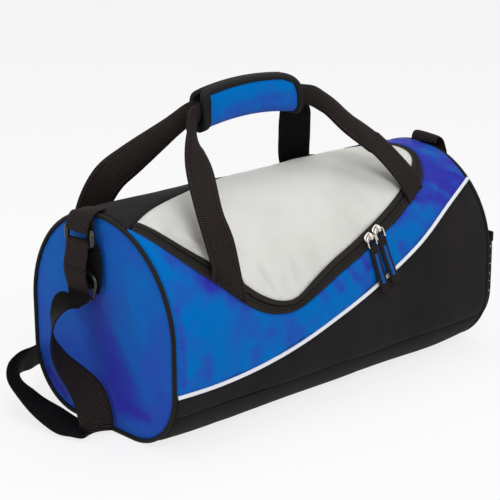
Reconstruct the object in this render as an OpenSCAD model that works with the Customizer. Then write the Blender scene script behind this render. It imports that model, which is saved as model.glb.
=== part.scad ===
// Barrel duffel bag with a zipped lid, two carry handles and a shoulder strap
// Millimetres. X runs along the bag, the front faces -Y, the bag stands on z = 0.
// s is the length measured round the barrel from its top line, positive down the front.

/* [Barrel] */
// Length of the bag over its two end pipings
bag_length = 508; // [500:1:520]
// Radius of the round top, half the width of the bag
top_radius = 123; // [121:0.5:125]
// Height of the middle of the round top
top_height = 121; // [119:0.5:124]
// Radius of the two long bottom corners
corner_radius = 72; // [66:1:78]
// Thickness of the padded cloth
cloth = 2; // [1.6:0.1:2.4]
// Diameter of the black piping round both ends
piping = 5; // [4:0.2:6]
// Height of the seams between the side panels and the bottom panel
bottom_seam = 43; // [36:1:50]
// Gap left between two sewn panels
seam_gap = 0.3; // [0.2:0.05:0.5]

/* [Zipper] */
// Width of the slot that the zipper fills between lid and body
slot_width = 15; // [14:0.2:16]
// Width of one zipper tape
tape_width = 14; // [12:0.5:16]
// Thickness of the zipper tapes
tape_thick = 0.9; // [0.7:0.1:1.1]
// Width of one row of the coil
coil_width = 2.2; // [1.8:0.1:2.4]
// Height of the coil
coil_height = 2.6; // [2.2:0.1:2.8]
// Gap between the two rows of the coil, where a slider's neck runs
coil_gap = 3.2; // [3:0.1:3.6]
// Length of a slider
slider_length = 14; // [12:0.5:16]
// Width of a slider
slider_width = 11; // [10.6:0.1:12]
// Play of a slider round the coil
slider_play = 1.2; // [1.1:0.05:1.4]

/* [Pulls] */
// Width of a pull tab
tab_width = 12; // [10:0.5:14]
// Length of a pull tab
tab_length = 48; // [40:1:52]
// Thickness of a pull tab
tab_thick = 2.4; // [2:0.1:2.8]
// Radius of the wire of a pull ring
wire = 0.9; // [0.7:0.05:1]
// Inner width of a pull ring
pull_ring_width = 14; // [13.4:0.2:16]
// Length of a pull ring
pull_ring_length = 13; // [12:0.5:15]

/* [Webbing] */
// Width of the webbing of the handles and the shoulder strap
webbing = 38; // [36:0.5:38.5]
// Thickness of the webbing
webbing_thick = 1.8; // [1.5:0.1:2]
// Height of the handle hinges over the cloth
hinge_lift = 3; // [2.9:0.1:3.4]

/* [Grip] */
// Length of the padded grip
grip_length = 148; // [130:1:156]
// Height of the grip
grip_height = 50; // [48:0.5:54]
// Thickness of the grip with both leaves closed
grip_thick = 24; // [23:0.5:26]
// Thickness of the padding
grip_pad = 4.5; // [4:0.1:4.8]
// Height of the middle of the grip
grip_middle = 340; // [336:1:350]
// Width of the binding on the edges of the grip
grip_binding = 9; // [7:0.5:11]

/* [Strap rings] */
// Inner width of a strap ring
ring_width = 40; // [39.4:0.2:42]
// Distance between the middles of the two bars of a strap ring
ring_pitch = 16; // [15:0.5:18]
// Diameter of the bars of a strap ring
ring_bar = 5; // [4.4:0.1:5.4]
// Distance of the strap rings from the top line of the bag
ring_offset = 18; // [12:1:20]

/* [Pocket] */
// Height of the net pocket on the right end
pocket_height = 145; // [120:1:155]
// Depth of the net pocket
pocket_depth = 12; // [9:0.5:14]
// Size of the square holes of the net
net_hole = 8; // [6:0.5:9]
// Pitch of the net
net_pitch = 12; // [11:0.5:14]

/* [Hidden] */
$fn = 64;

// Lengths round the barrel at which its outline changes from arc to straight
half_bottom = top_radius - corner_radius;
arc_end = top_radius * PI / 2;
side_end = arc_end + top_height - corner_radius;
corner_end = side_end + corner_radius * PI / 2;
top_z = top_height + top_radius;

// Inside ends of the barrel cloth, next to the end pipings
barrel_end = bag_length / 2 - piping - seam_gap;
end_panel_x = bag_length / 2 - piping / 2;

// Middle line of the zipper, from its left end to its end behind the lid, as x and s
zip_route = [
  [-236, 43], [-206, 96], [-152, 150], [-124, 170], [-98, 179.3], [-74, 179.6], [-42, 166.5], [-10, 153],
  [40, 136], [110, 107], [165, 77], [198, 44], [204, 12], [188, -18], [160, -38]
];
zip_steps = 5;
zip_skip = 4;

// Seam with the white piping across the front, as x and s
white_route = [
  [-254, 245], [-190, 244.5], [-130, 239], [-65, 226], [0, 206], [60, 184], [125, 157], [190, 123], [254, 93]
];
white_steps = 6;
white_width = 5;
white_height = 2.4;

// Wavy seam between the lid and the black back panel, as x and s
back_route = [
  [-254, 46], [-238, 43], [-209, 29], [-170, 14], [-111, -6], [-40, -36], [40, -62], [120, -80], [190, -90],
  [254, -96]
];
back_steps = 4;
yoke_right = [171, -88];
far_back = -110;

// Fold line of the lid, from the left end of the zipper to its end behind the lid
fold_gap = 1;
lid_tilt = 28;
past_end = [-bag_length / 2 - 8, 30];

// Base points of the handles, as x and s
left_base = [-170, 140];
right_base = [151, 93];

// Routes of the handles between base and grip
front_left_leg = [[-174, -107, 216], [-173, -88, 250], [-155, -53, 286], [-131, -19, 318]];
front_right_leg = [[73, -22, 322], [88, -46, 296], [114, -64, 267], [137, -77, 238]];
back_left_leg = [[-178, 106, 206], [-171, 83, 249], [-156, 60, 276], [-130, 22, 314]];
back_right_leg = [[57, 19, 303], [72, 40, 268], [93, 60, 243], [124, 77, 227]];
leg_steps = 4;
// Share of the full width at the points of a handle: the webbing is folded double in the grip
leg_widths = [1, 1, 1, 0.9, 0.65, 0.5, 0.5, 0.5, 0.5, 0.5, 0.65, 0.9, 1, 1, 1];
// Direction across the webbing at the same points of each handle
front_across = [
  [0.99, 0.09, 0.12], [1, 0, 0.1], [0.97, 0, -0.15], [0.85, 0, -0.5], [0.65, 0, -0.75],
  [0, 0, -1], [0, 0, -1], [0, 0, -1], [0, 0, -1], [0, 0, -1],
  [-0.76, 0, -0.4], [-0.78, 0, -0.45], [-0.85, 0, -0.45], [-0.96, -0.05, -0.28], [-0.99, -0.09, -0.12]
];
back_across = [
  [0.99, -0.09, 0.12], [0.9, -0.35, -0.1], [0.62, -0.66, -0.42], [0.4, -0.63, -0.66], [0.2, -0.3, -0.9],
  [0, 0, -1], [0, 0, -1], [0, 0, -1], [0, 0, -1], [0, 0, -1],
  [-0.7, 0.6, -0.35], [-0.73, 0.68, 0], [-0.8, 0.6, 0.05], [-0.95, 0.2, -0.2], [-0.99, 0.09, -0.12]
];
leg_tail = 16;
leg_start = 1.2;
hem_length = 44;
hem_width = 3.5;
hem_thick = 1;
hem_gap = 1.2;

// Sliders along the zipper, as x, and the turn that lays each pull on the front
left_slider_x = 48;
right_slider_x = 64;
left_pull_lean = 13;
right_pull_lean = 10;
pull_swing = [0.99, -0.14];
lug_height = 6.2;
lug_length = 4;

// Shoulder strap from the tri-glide over the floor behind the bag to the right ring
strap_floor = [
  [-269, 18, 148.8], [-280, 20, 148.5], [-292.5, 20, 141.8], [-300.5, 19.2, 131.5], [-303.7, 18.6, 120],
  [-304.6, 17.5, 109], [-302.5, 15.4, 97], [-295.7, 10.6, 81], [-285.8, 2.6, 65], [-276.5, -6, 46],
  [-274, -11.5, 27], [-274.5, -14.5, 15], [-276, -15, 8], [-279, -9, 5.8], [-283.5, 2, 5.2], [-289.4, 19, 6],
  [-292.5, 47.4, 14.4], [-293.4, 76.4, 22.7], [-292.8, 100.4, 32.4], [-288.1, 112.2, 39.7],
  [-278.4, 120.5, 44.6], [-262, 130, 45.5], [-240, 141, 43], [-214, 159, 39], [-178, 178, 29], [-130, 183, 21],
  [-60, 172, 20], [60, 158, 20], [170, 156, 20], [252, 152, 20], [296, 110, 22], [300, 44, 44],
  [296, 8, 90], [286, -10, 134]
];
// Distance of the first points under the left and the right loop
strap_lead = [3, 4];
// Direction across the strap, three times at each end and once at each of the points between
strap_across = [
  [0, 1, 0], [0, 1, 0], [0, 1, 0],
  [0, 1, 0], [0, 0.97, 0.24], [0.14, 0.97, -0.21], [0.43, 0.86, -0.27], [0.58, 0.8, -0.17],
  [0.67, 0.74, -0.07], [0.74, 0.67, 0.07], [0.81, 0.55, 0.2], [0.88, 0.33, 0.33], [0.92, -0.15, 0.36],
  [0.89, -0.38, 0.24], [0.93, -0.25, 0.2], [0.97, -0.05, 0.18],
  [0.96, 0.2, 0.14], [0.94, 0.3, 0.12], [0.96, 0.24, 0.14],
  [1, 0.07, 0], [0.96, 0.09, -0.26], [0.88, 0.09, -0.47], [0.61, 0.04, -0.79],
  [0.13, 0.22, -0.97], [-0.2, 0.4, -0.9], [-0.28, 0.28, -0.92], [-0.2, 0.25, -0.95], [0, 0.1, -1], [0, 0, -1],
  [0, 0, -1], [0, 0, -1], [0, 0, -1], [0, 0, -1], [-0.3, -0.2, -0.9], [0, -0.8, -0.6],
  [0, -1, 0], [0, -1, 0], [0, -1, 0], [0, -1, 0], [0, -1, 0]
];
strap_steps = 2;

// A point of the outline at the length a from the top line, and the outward direction there
function outline(a) =
  a <= arc_end ? top_radius * [sin(a / top_radius * 180 / PI), cos(a / top_radius * 180 / PI)] + [0, top_height]
  : a <= side_end ? [top_radius, top_height - (a - arc_end)]
  : a <= corner_end ?
    let (t = (a - side_end) / corner_radius * 180 / PI)
    [half_bottom, corner_radius] + corner_radius * [cos(t), -sin(t)]
  : [half_bottom - (a - corner_end), 0];
function outward(a) =
  a <= arc_end ? [sin(a / top_radius * 180 / PI), cos(a / top_radius * 180 / PI)]
  : a <= side_end ? [1, 0]
  : a <= corner_end ?
    let (t = (a - side_end) / corner_radius * 180 / PI)
    [cos(t), -sin(t)]
  : [0, -1];

// The point of the bag at x and s, the height h over the cloth
function on_bag(q, h = 0) =
  let (a = abs(q.y), k = q.y < 0 ? 1 : -1, p = outline(a) + h * outward(a))
  [q.x, k * p.x, p.y];

// A smooth curve through all points
function between(a, b, c, d, t) =
  0.5 * (2 * b + (c - a) * t + (2 * a - 5 * b + 4 * c - d) * t * t + (3 * b - a - 3 * c + d) * t * t * t);
function curve(p, steps) = [
  for (i = [0 : len(p) - 2], k = [0 : steps - 1])
    between(i == 0 ? 2 * p[0] - p[1] : p[i - 1], p[i], p[i + 1],
      i + 2 < len(p) ? p[i + 2] : 2 * p[i + 1] - p[i], k / steps),
  p[len(p) - 1]
];
function unit(v) = v / norm(v);
function heading(p, i) = unit(p[min(i + 1, len(p) - 1)] - p[max(i - 1, 0)]);

// The route moved sideways on the cloth, positive to the outside of the lid
function beside(p, d) = [
  for (i = [0 : len(p) - 1])
    let (t = heading(p, i))
    p[i] + d * [-t.y, t.x]
];

zip_line = curve(zip_route, zip_steps);
zip_worked = [for (i = [zip_skip : len(zip_line) - 1 - zip_skip]) zip_line[i]];
white_line = curve(white_route, white_steps);
back_line = curve(back_route, back_steps);
lid_left = on_bag(zip_route[0]);
lid_right = on_bag(zip_route[len(zip_route) - 1]);

// A closed solid through a row of rings with the same number of points
module skin(rings) {
  n = len(rings[0]);
  m = len(rings);
  polyhedron(
    points = [for (r = rings) each r],
    faces = [
      [for (j = [0 : n - 1]) j],
      [for (j = [n - 1 : -1 : 0]) (m - 1) * n + j],
      for (i = [0 : m - 2], j = [0 : n - 1])
        let (a = i * n + j, b = i * n + (j + 1) % n)
        each [[a, a + n, b], [b, a + n, b + n]]
    ]
  );
}

// A flat strip on the bag beside a route, from d0 to d1 sideways and from h0 to h1 in height
module strip(route, d0, d1, h0, h1) {
  near = beside(route, d0);
  far = beside(route, d1);
  skin([
    for (i = [0 : len(route) - 1])
      [on_bag(near[i], h0), on_bag(near[i], h1), on_bag(far[i], h1), on_bag(far[i], h0)]
  ]);
}

// A band of webbing along a route in space, with the direction and the share of its width at each point
module band(route, across, share) {
  skin([
    for (i = [0 : len(route) - 1])
      let (
        t = heading(route, i),
        n = unit(cross(t, across[i])),
        w = cross(n, t) * webbing * share[i] / 2,
        h = n * webbing_thick / 2
      )
      [route[i] - w - h, route[i] + w - h, route[i] + w + h, route[i] - w + h]
  ]);
}
function full(route) = [for (p = route) 1];

// The outline of the barrel, drawn in y and z, made smaller by inset
module barrel_outline(inset = 0) {
  r = top_radius - inset;
  translate([0, top_height])
    intersection() {
      circle(r, $fn = 128);
      translate([-r, 0])
        square([2 * r, r]);
    }
  translate([-r, corner_radius])
    square([2 * r, top_height - corner_radius]);
  for (k = [-1, 1])
    translate([k * half_bottom, corner_radius])
      circle(corner_radius - inset, $fn = 128);
  translate([-half_bottom, inset])
    square([2 * half_bottom, corner_radius]);
}

// A flat shape in y and z, pulled along X from x0 to x1
module along_x(x0, x1) {
  translate([x0, 0, 0])
    rotate([90, 0, 90])
      linear_extrude(x1 - x0)
        children();
}

module barrel_cloth() {
  along_x(-barrel_end, barrel_end)
    difference() {
      barrel_outline();
      barrel_outline(cloth);
    }
}

// Everything over the white seam, moved up by gap
module above_white(gap) {
  edge = beside(white_line, -gap);
  translate([0, top_radius + 1, 0])
    rotate([90, 0, 0])
      linear_extrude(2 * top_radius + 2)
        polygon([
          [-bag_length, on_bag(edge[0]).z],
          for (q = edge) [q.x, on_bag(q).z],
          [bag_length, on_bag(edge[len(edge) - 1]).z],
          [bag_length, top_z + 1],
          [-bag_length, top_z + 1]
        ]);
}

// Everything behind the back seam, moved to the back by gap
module behind_seam(gap) {
  edge = beside(back_line, -gap);
  translate([0, 0, bottom_seam])
    linear_extrude(top_z)
      polygon([
        [-bag_length, on_bag(edge[0]).y],
        for (q = edge) [q.x, on_bag(q).y],
        [bag_length, on_bag(edge[len(edge) - 1]).y],
        [bag_length, top_radius + 1],
        [-bag_length, top_radius + 1]
      ]);
}

// Everything inside the zipper line moved outwards by d, looking at the lid square on
module inside_zip(d, closing) {
  edge = concat(beside(zip_line, d), closing);
  translate([0, 0, top_height])
    rotate([lid_tilt, 0, 0])
      linear_extrude(top_radius + 5)
        polygon([
          for (q = edge)
            [q.x, -top_radius * sin(q.y / top_radius * 180 / PI - lid_tilt)]
        ]);
}

// Everything in front of the fold line, moved to the front by gap
module before_fold(gap) {
  along = unit([lid_right.x - lid_left.x, lid_right.y - lid_left.y]);
  aside = gap * [along.y, -along.x];
  a = [lid_left.x, lid_left.y] + aside - bag_length * along;
  b = [lid_left.x, lid_left.y] + aside + 2 * bag_length * along;
  translate([0, 0, top_height])
    linear_extrude(top_z)
      polygon([a, b, [2 * bag_length, -bag_length], [-2 * bag_length, -bag_length]]);
}

// Moves a piece from the frame of a point on the bag: x along heading, y up the cloth, z outwards
module placed(q, heading_xs, h = 0) {
  p = on_bag(q, h);
  n = unit(on_bag(q, 1) - on_bag(q));
  down = unit(on_bag(q + [0, 0.01]) - on_bag(q - [0, 0.01]));
  t = unit(heading_xs.x * [1, 0, 0] + heading_xs.y * down);
  b = cross(n, t);
  translate(p)
    rotate([atan2(b.z, n.z), -asin(t.z), atan2(t.y, t.x)])
      children();
}

module block(x, y, z) {
  translate([x[0], y[0], z[0]])
    cube([x[1] - x[0], y[1] - y[0], z[1] - z[0]]);
}

// Barrel panels
module front_blue_panel() {
  closing = [yoke_right, [yoke_right.x, far_back], [past_end.x, far_back], past_end];
  color("RoyalBlue")
    difference() {
      intersection() {
        barrel_cloth();
        above_white(seam_gap / 2);
      }
      behind_seam(-seam_gap / 2);
      inside_zip(slot_width / 2, closing);
    }
}

module front_black_panel() {
  color("DimGray")
    difference() {
      intersection() {
        barrel_cloth();
        translate([-bag_length / 2, -2 * top_radius, bottom_seam + seam_gap / 2])
          cube([bag_length, 2 * top_radius, top_z]);
      }
      above_white(-seam_gap / 2);
    }
}

module back_panel() {
  color("DimGray")
    intersection() {
      barrel_cloth();
      behind_seam(seam_gap / 2);
      translate([-bag_length / 2, -top_radius, bottom_seam + seam_gap / 2])
        cube([bag_length, 2 * top_radius, top_z]);
    }
}

module bottom_panel() {
  color("DimGray")
    intersection() {
      barrel_cloth();
      translate([-bag_length / 2, -top_radius, 0])
        cube([bag_length, 2 * top_radius, bottom_seam - seam_gap / 2]);
    }
}

board_margin = 6;
board_thick = 2.7;
module base_board() {
  x = barrel_end - board_margin;
  y = half_bottom - board_margin / 2;
  z = cloth + seam_gap;
  color("SlateGray")
    block([-x, x], [-y, y], [z, z + board_thick]);
}

// Ends and their pipings
module end_panel(k) {
  x = k * end_panel_x;
  along_x(x - cloth / 2, x + cloth / 2)
    barrel_outline(piping + seam_gap);
}
module left_end_panel() {
  color("RoyalBlue")
    end_panel(-1);
}
module right_end_panel() {
  color("RoyalBlue")
    end_panel(1);
}

module arc_cord(radius, start, turn) {
  rotate([0, 0, start])
    rotate_extrude(angle = turn, $fn = 128)
      translate([radius, 0])
        circle(piping / 2, $fn = 24);
}
module rod(a, b, radius) {
  d = b - a;
  translate(a)
    rotate([0, acos(d.z / norm(d)), atan2(d.y, d.x)])
      cylinder(h = norm(d), r = radius, $fn = 24);
}
module end_piping(k) {
  r = piping / 2;
  translate([k * (bag_length / 2 - r), 0, 0])
    rotate([90, 0, 90]) {
      translate([0, top_height, 0])
        arc_cord(top_radius - r, 0, 180);
      for (m = [-1, 1])
        rod([m * (top_radius - r), corner_radius, 0], [m * (top_radius - r), top_height, 0], r);
      translate([half_bottom, corner_radius, 0])
        arc_cord(corner_radius - r, 270, 90);
      translate([-half_bottom, corner_radius, 0])
        arc_cord(corner_radius - r, 180, 90);
      rod([-half_bottom, r, 0], [half_bottom, r, 0], r);
    }
}
module left_end_piping() {
  color("Black")
    end_piping(-1);
}
module right_end_piping() {
  color("Black")
    end_piping(1);
}

// Piping cord along the white seam, domed over the cloth
module white_piping() {
  inner = [for (q = white_line) if (abs(q.x) < barrel_end) q];
  dome = [for (t = [0 : 30 : 180]) [-cos(t) * white_width / 2, seam_gap / 2 + sin(t) * white_height]];
  edges = [for (c = dome) beside(inner, c.x)];
  color("White")
    skin([
      for (i = [0 : len(inner) - 1])
        [for (j = [0 : len(dome) - 1]) on_bag(edges[j][i], dome[j].y)]
    ]);
}

// Lid and the strip of the same cloth behind its fold
module lid_panel() {
  color("Gainsboro")
    intersection() {
      barrel_cloth();
      inside_zip(-slot_width / 2, [[lid_right.x, far_back], [-bag_length / 2, far_back]]);
      before_fold(fold_gap);
    }
}
module lid_yoke() {
  seam = beside(back_line, seam_gap / 2);
  color("Gainsboro")
    difference() {
      intersection() {
        barrel_cloth();
        translate([0, 0, top_height])
          linear_extrude(top_z)
            polygon([
              [lid_left.x, lid_left.y],
              [lid_right.x, lid_right.y],
              for (i = [len(seam) - 1 : -1 : 0])
                if (seam[i].x < yoke_right.x && seam[i].x > lid_left.x)
                  [seam[i].x, on_bag(seam[i]).y]
            ]);
      }
      behind_seam(-seam_gap / 2);
    }
}

// Zipper tapes under the cloth, and the two rows of the coil on them
tape_top = -cloth - seam_gap;
module body_zip_tape() {
  color("Black")
    strip(zip_worked, coil_gap / 2, coil_gap / 2 + tape_width, tape_top - tape_thick, tape_top);
}
module lid_zip_tape() {
  color("Black")
    strip(zip_worked, -coil_gap / 2 - tape_width, -coil_gap / 2, tape_top - tape_thick, tape_top);
}
module body_zip_coil() {
  color("DimGray")
    strip(zip_worked, coil_gap / 2, coil_gap / 2 + coil_width, tape_top + seam_gap, tape_top + coil_height);
}
module lid_zip_coil() {
  color("DimGray")
    strip(zip_worked, -coil_gap / 2 - coil_width, -coil_gap / 2, tape_top + seam_gap, tape_top + coil_height);
}

// Sliders: two plates joined by a neck, side flanges and a lug for the pull
function zip_at(x) =
  let (i = [for (k = [len(zip_line) - 2 : -1 : 0]) if (zip_line[k].x <= x && zip_line[k + 1].x > x) k][0],
    a = zip_line[i], b = zip_line[i + 1])
  a + (b - a) * (x - a.x) / (b.x - a.x);
function zip_heading(x) = unit(zip_at(x + 6) - zip_at(x - 6));
slider_floor = tape_top + coil_height + slider_play;
slider_plate = 1.6;
slider_flange = 0.8;
neck_width = 1.2;
neck_length = 3;
lug_width = 3.2;
lug_wall = 1.3;
wire_play = 0.1;
module slider(x, nose) {
  half = slider_width / 2;
  long = [-slider_length / 2, slider_length / 2];
  below = tape_top - tape_thick - slider_play;
  difference() {
    union() {
      placed(zip_at(x), zip_heading(x)) {
        block(long, [-half, half], [slider_floor, slider_floor + slider_plate]);
        block(long, [-half, half], [below - slider_plate, below]);
        for (y = [-half, half - slider_flange])
          block(long, [y, y + slider_flange], [tape_top + slider_play, slider_floor]);
        translate([nose * (slider_length - neck_length) / 2, 0, 0])
          block([-neck_length / 2, neck_length / 2], [-neck_width / 2, neck_width / 2], [below, slider_floor]);
      }
      placed(zip_at(x), pull_swing) {
        block([-lug_length / 2, lug_length / 2], [-lug_width / 2, lug_width / 2],
          [slider_floor + slider_plate / 2, lug_height]);
        translate([-lug_length / 2, 0, lug_height])
          rotate([0, 90, 0])
            cylinder(h = lug_length, r = wire + lug_wall, $fn = 32);
      }
    }
    placed(zip_at(x), pull_swing)
      translate([-slider_length, 0, lug_height])
        rotate([0, 90, 0])
          cylinder(h = 2 * slider_length, r = wire + wire_play, $fn = 32);
  }
}
module left_slider() {
  color("Silver")
    slider(left_slider_x, 1);
}
module right_slider() {
  color("Silver")
    slider(right_slider_x, -1);
}

// Pulls: a wire ring through the lug, a folded webbing tab on it and the coloured stripe of the tab
module pull_frame(x, lean) {
  placed(zip_at(x), pull_swing)
    translate([0, 0, lug_height])
      rotate([lean, 0, 0])
        children();
}
module pull_ring() {
  w = pull_ring_width / 2;
  corners = [[-w, 0, 0], [w, 0, 0], [w, -pull_ring_length, 0], [-w, -pull_ring_length, 0]];
  for (i = [0 : 3]) {
    rod(corners[i], corners[(i + 1) % 4], wire);
    translate(corners[i])
      sphere(wire, $fn = 24);
  }
}
stripe_thick = 0.4;
stripe_start = 6;
stripe_end = 10;
module pull_tab() {
  eye = wire + 2 * wire_play;
  translate([0, -pull_ring_length, 0])
    difference() {
      union() {
        translate([-tab_width / 2, 0, 0])
          rotate([0, 90, 0])
            cylinder(h = tab_width, r = eye + tab_thick / 2, $fn = 32);
        block([-tab_width / 2, tab_width / 2], [-tab_length, 0], [-tab_thick / 2, tab_thick / 2]);
      }
      translate([-tab_width, 0, 0])
        rotate([0, 90, 0])
          cylinder(h = 2 * tab_width, r = eye, $fn = 32);
    }
}
module pull_stripe() {
  translate([0, -pull_ring_length, 0])
    block([-tab_width / 6, tab_width / 6], [stripe_end - tab_length, -stripe_start],
      [tab_thick / 2, tab_thick / 2 + stripe_thick]);
}
module left_pull_ring() {
  color("Silver")
    pull_frame(left_slider_x, left_pull_lean)
      pull_ring();
}
module right_pull_ring() {
  color("Silver")
    pull_frame(right_slider_x, right_pull_lean)
      pull_ring();
}
module left_pull_tab() {
  color("Black")
    pull_frame(left_slider_x, left_pull_lean)
      pull_tab();
}
module right_pull_tab() {
  color("Black")
    pull_frame(right_slider_x, right_pull_lean)
      pull_tab();
}
module left_pull_stripe() {
  color("RoyalBlue")
    pull_frame(left_slider_x, left_pull_lean)
      pull_stripe();
}
module right_pull_stripe() {
  color("RoyalBlue")
    pull_frame(right_slider_x, right_pull_lean)
      pull_stripe();
}

// Handles: webbing from base to base through the grip, on a hinge line through both bases
grip_left = -104;
grip_right = grip_left + grip_length;
grip_play = 0.4;
grip_bend = 6;
grip_inside = 24;
web_y = grip_thick / 2 - grip_pad - webbing_thick / 2 - grip_play;
function hinge_point(base, k) = on_bag([base.x, -k * base.y], hinge_lift);
function past_hinge(base, k, next) = hinge_point(base, k) - leg_tail * unit(next - hinge_point(base, k));
function handle_route(left_leg, right_leg, k) = curve([
  past_hinge(left_base, k, left_leg[0]),
  for (p = left_leg) p,
  for (x = [
    grip_left - grip_bend, grip_left + grip_inside, (grip_left + grip_right) / 2,
    grip_right - grip_inside, grip_right + grip_bend
  ])
    [x, k * web_y, grip_middle],
  for (p = right_leg) p,
  past_hinge(right_base, k, right_leg[len(right_leg) - 1])
], leg_steps);

// Everything under the hinge line of the front handle, which cuts both ends of the webbing parallel to it
module under_hinge() {
  a = hinge_point(left_base, -1);
  b = hinge_point(right_base, -1);
  t = unit(b - a);
  up = unit(cross(on_bag((left_base + right_base) / 2, 1) - on_bag((left_base + right_base) / 2), t));
  n = cross(t, up);
  translate(a)
    rotate([atan2(up.z, n.z), -asin(t.z), atan2(t.y, t.x)])
      block([-webbing, norm(b - a) + 2 * webbing], [-2 * webbing, leg_start], [-webbing, webbing]);
}
module handle(left_leg, right_leg, across, k) {
  difference() {
    band(handle_route(left_leg, right_leg, k), curve(across, leg_steps), curve(leg_widths, leg_steps));
    mirror([0, k > 0 ? 1 : 0, 0])
      under_hinge();
  }
}
module front_handle() {
  color("Black")
    handle(front_left_leg, front_right_leg, front_across, -1);
}
module back_handle() {
  color("Black")
    handle(back_left_leg, back_right_leg, back_across, 1);
}

// Folded ends of the handle webbing, sewn along the seams at the bases
module hem(route) {
  strip(route, -hem_width / 2, hem_width / 2, seam_gap, seam_gap + hem_thick);
}
function hem_line(base, along) = [for (k = [-2 : 2]) base + k * hem_length / 4 * along];
function zip_seam(x) =
  zip_at(x) + (slot_width / 2 + hem_gap + hem_width / 2) * [-zip_heading(x).y, zip_heading(x).x];
function back_seam(base) = [base.x, -base.y - 2 * hem_gap - hem_width / 2];
module front_left_hem() {
  color("Black")
    hem(hem_line(zip_seam(left_base.x), zip_heading(left_base.x)));
}
module front_right_hem() {
  color("Black")
    hem(hem_line(zip_seam(right_base.x), zip_heading(right_base.x)));
}
module back_left_hem() {
  color("Black")
    hem(hem_line(back_seam(left_base), [1, 0]));
}
module back_right_hem() {
  color("Black")
    hem(hem_line(back_seam(right_base), [1, 0]));
}

// Grip: two padded leaves that close round both handles
module grip_outline(inset) {
  r = grip_thick / 2 - inset;
  for (k = [-1, 1])
    translate([0, grip_middle + k * (grip_height / 2 - grip_thick / 2)])
      circle(r, $fn = 48);
  translate([-r, grip_middle - grip_height / 2 + grip_thick / 2])
    square([2 * r, grip_height - grip_thick]);
}
module grip_leaf(k, x0, x1) {
  along_x(x0, x1)
    intersection() {
      difference() {
        grip_outline(0);
        translate([-grip_thick / 2 + grip_pad, grip_middle - webbing / 2 - grip_play])
          square([grip_thick - 2 * grip_pad, webbing + 2 * grip_play]);
      }
      translate([k < 0 ? -grip_thick : seam_gap, grip_middle - grip_height])
        square([grip_thick - seam_gap, 2 * grip_height]);
    }
}
grip_top = grip_middle + grip_height / 2;
module grip_face(margin) {
  block([grip_left + margin, grip_right - margin], [-grip_thick, grip_thick], [0, grip_top - margin]);
}
module front_grip() {
  color("RoyalBlue")
    intersection() {
      grip_leaf(-1, grip_left, grip_right);
      grip_face(grip_binding + seam_gap);
    }
}
module front_grip_binding() {
  color("Black")
    difference() {
      grip_leaf(-1, grip_left, grip_right);
      grip_face(grip_binding);
    }
}
module back_grip() {
  color("RoyalBlue")
    grip_leaf(1, grip_left, grip_right);
}

// Strap ends: a webbing tab over the top seam, a ring in it and a webbing loop on the ring
bar_x = bag_length / 2 + 9;
bar_drop = 18;
tab_gap = 0.4;
tab_on_top = 26;
tab_steps = 3;
tab_edge = [4, 8];
tab_fall = 5;
tab_back = [4.6, 9];
module strap_end(k) {
  translate([0, -k * ring_offset, top_z])
    mirror([k > 0 ? 1 : 0, 0, 0])
      children();
}
function tab_turn(r) = [for (t = [180 : 30 : 360]) [-bar_x + r * cos(t), 0, -bar_drop + r * sin(t)]];
module strap_tab() {
  r = loop_r;
  lift = seam_gap + webbing_thick / 2;
  end = -bag_length / 2;
  over = [[end + tab_on_top, 0, lift], [end + tab_edge[0], 0, lift], [end - tab_edge[1], 0, lift - tab_fall]];
  route = concat(curve(over, tab_steps), tab_turn(r), [[end - tab_back[0], 0, tab_back[1] - bar_drop]]);
  band(route, [for (p = route) [0, 1, 0]], full(route));
}
module strap_ring() {
  w = ring_width / 2 + ring_bar / 2;
  corners = [
    [-bar_x, -w, -bar_drop], [-bar_x, w, -bar_drop], [-bar_x, w, -bar_drop - ring_pitch],
    [-bar_x, -w, -bar_drop - ring_pitch]
  ];
  for (i = [0 : 3]) {
    rod(corners[i], corners[(i + 1) % 4], ring_bar / 2);
    translate(corners[i])
      sphere(ring_bar / 2, $fn = 24);
  }
}
loop_length = 52;
loop_inner = 32;
loop_neck = 12;
loop_bottom = -bar_drop - ring_pitch - loop_length;
loop_r = ring_bar / 2 + tab_gap + webbing_thick / 2;
loop_x = bar_x + loop_r;
module strap_loop() {
  top = [-bar_x, 0, -bar_drop - ring_pitch];
  route = concat(
    [[-loop_x, 0, loop_bottom], [-loop_x, 0, top.z - loop_neck]],
    [for (t = [180 : -30 : 0]) top + loop_r * [cos(t), 0, sin(t)]],
    [[-bar_x + loop_r, 0, top.z - loop_neck], [-bar_x + loop_r, 0, top.z - loop_inner]]
  );
  band(route, [for (p = route) [0, 1, 0]], full(route));
}
module left_strap_tab() {
  color("Black")
    strap_end(-1)
      strap_tab();
}
module right_strap_tab() {
  color("Black")
    strap_end(1)
      strap_tab();
}
module left_ring() {
  color("Black")
    strap_end(-1)
      strap_ring();
}
module right_ring() {
  color("Black")
    strap_end(1)
      strap_ring();
}
module left_strap_loop() {
  color("Black")
    strap_end(-1)
      strap_loop();
}
module right_strap_loop() {
  color("Black")
    strap_end(1)
      strap_loop();
}

// Tri-glide under the left loop: a plate with two windows and three bars
glide_thick = 3;
glide_bar = 4;
glide_window = 8;
module tri_glide() {
  w = ring_width / 2 + glide_bar;
  h = glide_window + 1.5 * glide_bar;
  color("Black")
    strap_end(-1)
      translate([-loop_x + webbing_thick / 2 + tab_gap, 0, loop_bottom + glide_bar])
        difference() {
          block([0, glide_thick], [-w, w], [-h, h]);
          for (z = [glide_bar / 2, -glide_bar / 2 - glide_window])
            block([-1, glide_thick + 1], [-ring_width / 2, ring_width / 2], [z, z + glide_window]);
        }
}

// Net pocket on the right end: the net, its side band and the bound edge on top
pocket_x = bag_length / 2 + pocket_depth;
net_thick = 1.2;
net_edge = 6;
net_bottom = 26;
net_top = 18;
gusset = 2;
binding_height = 12;
binding_thick = 1.2;
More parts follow.
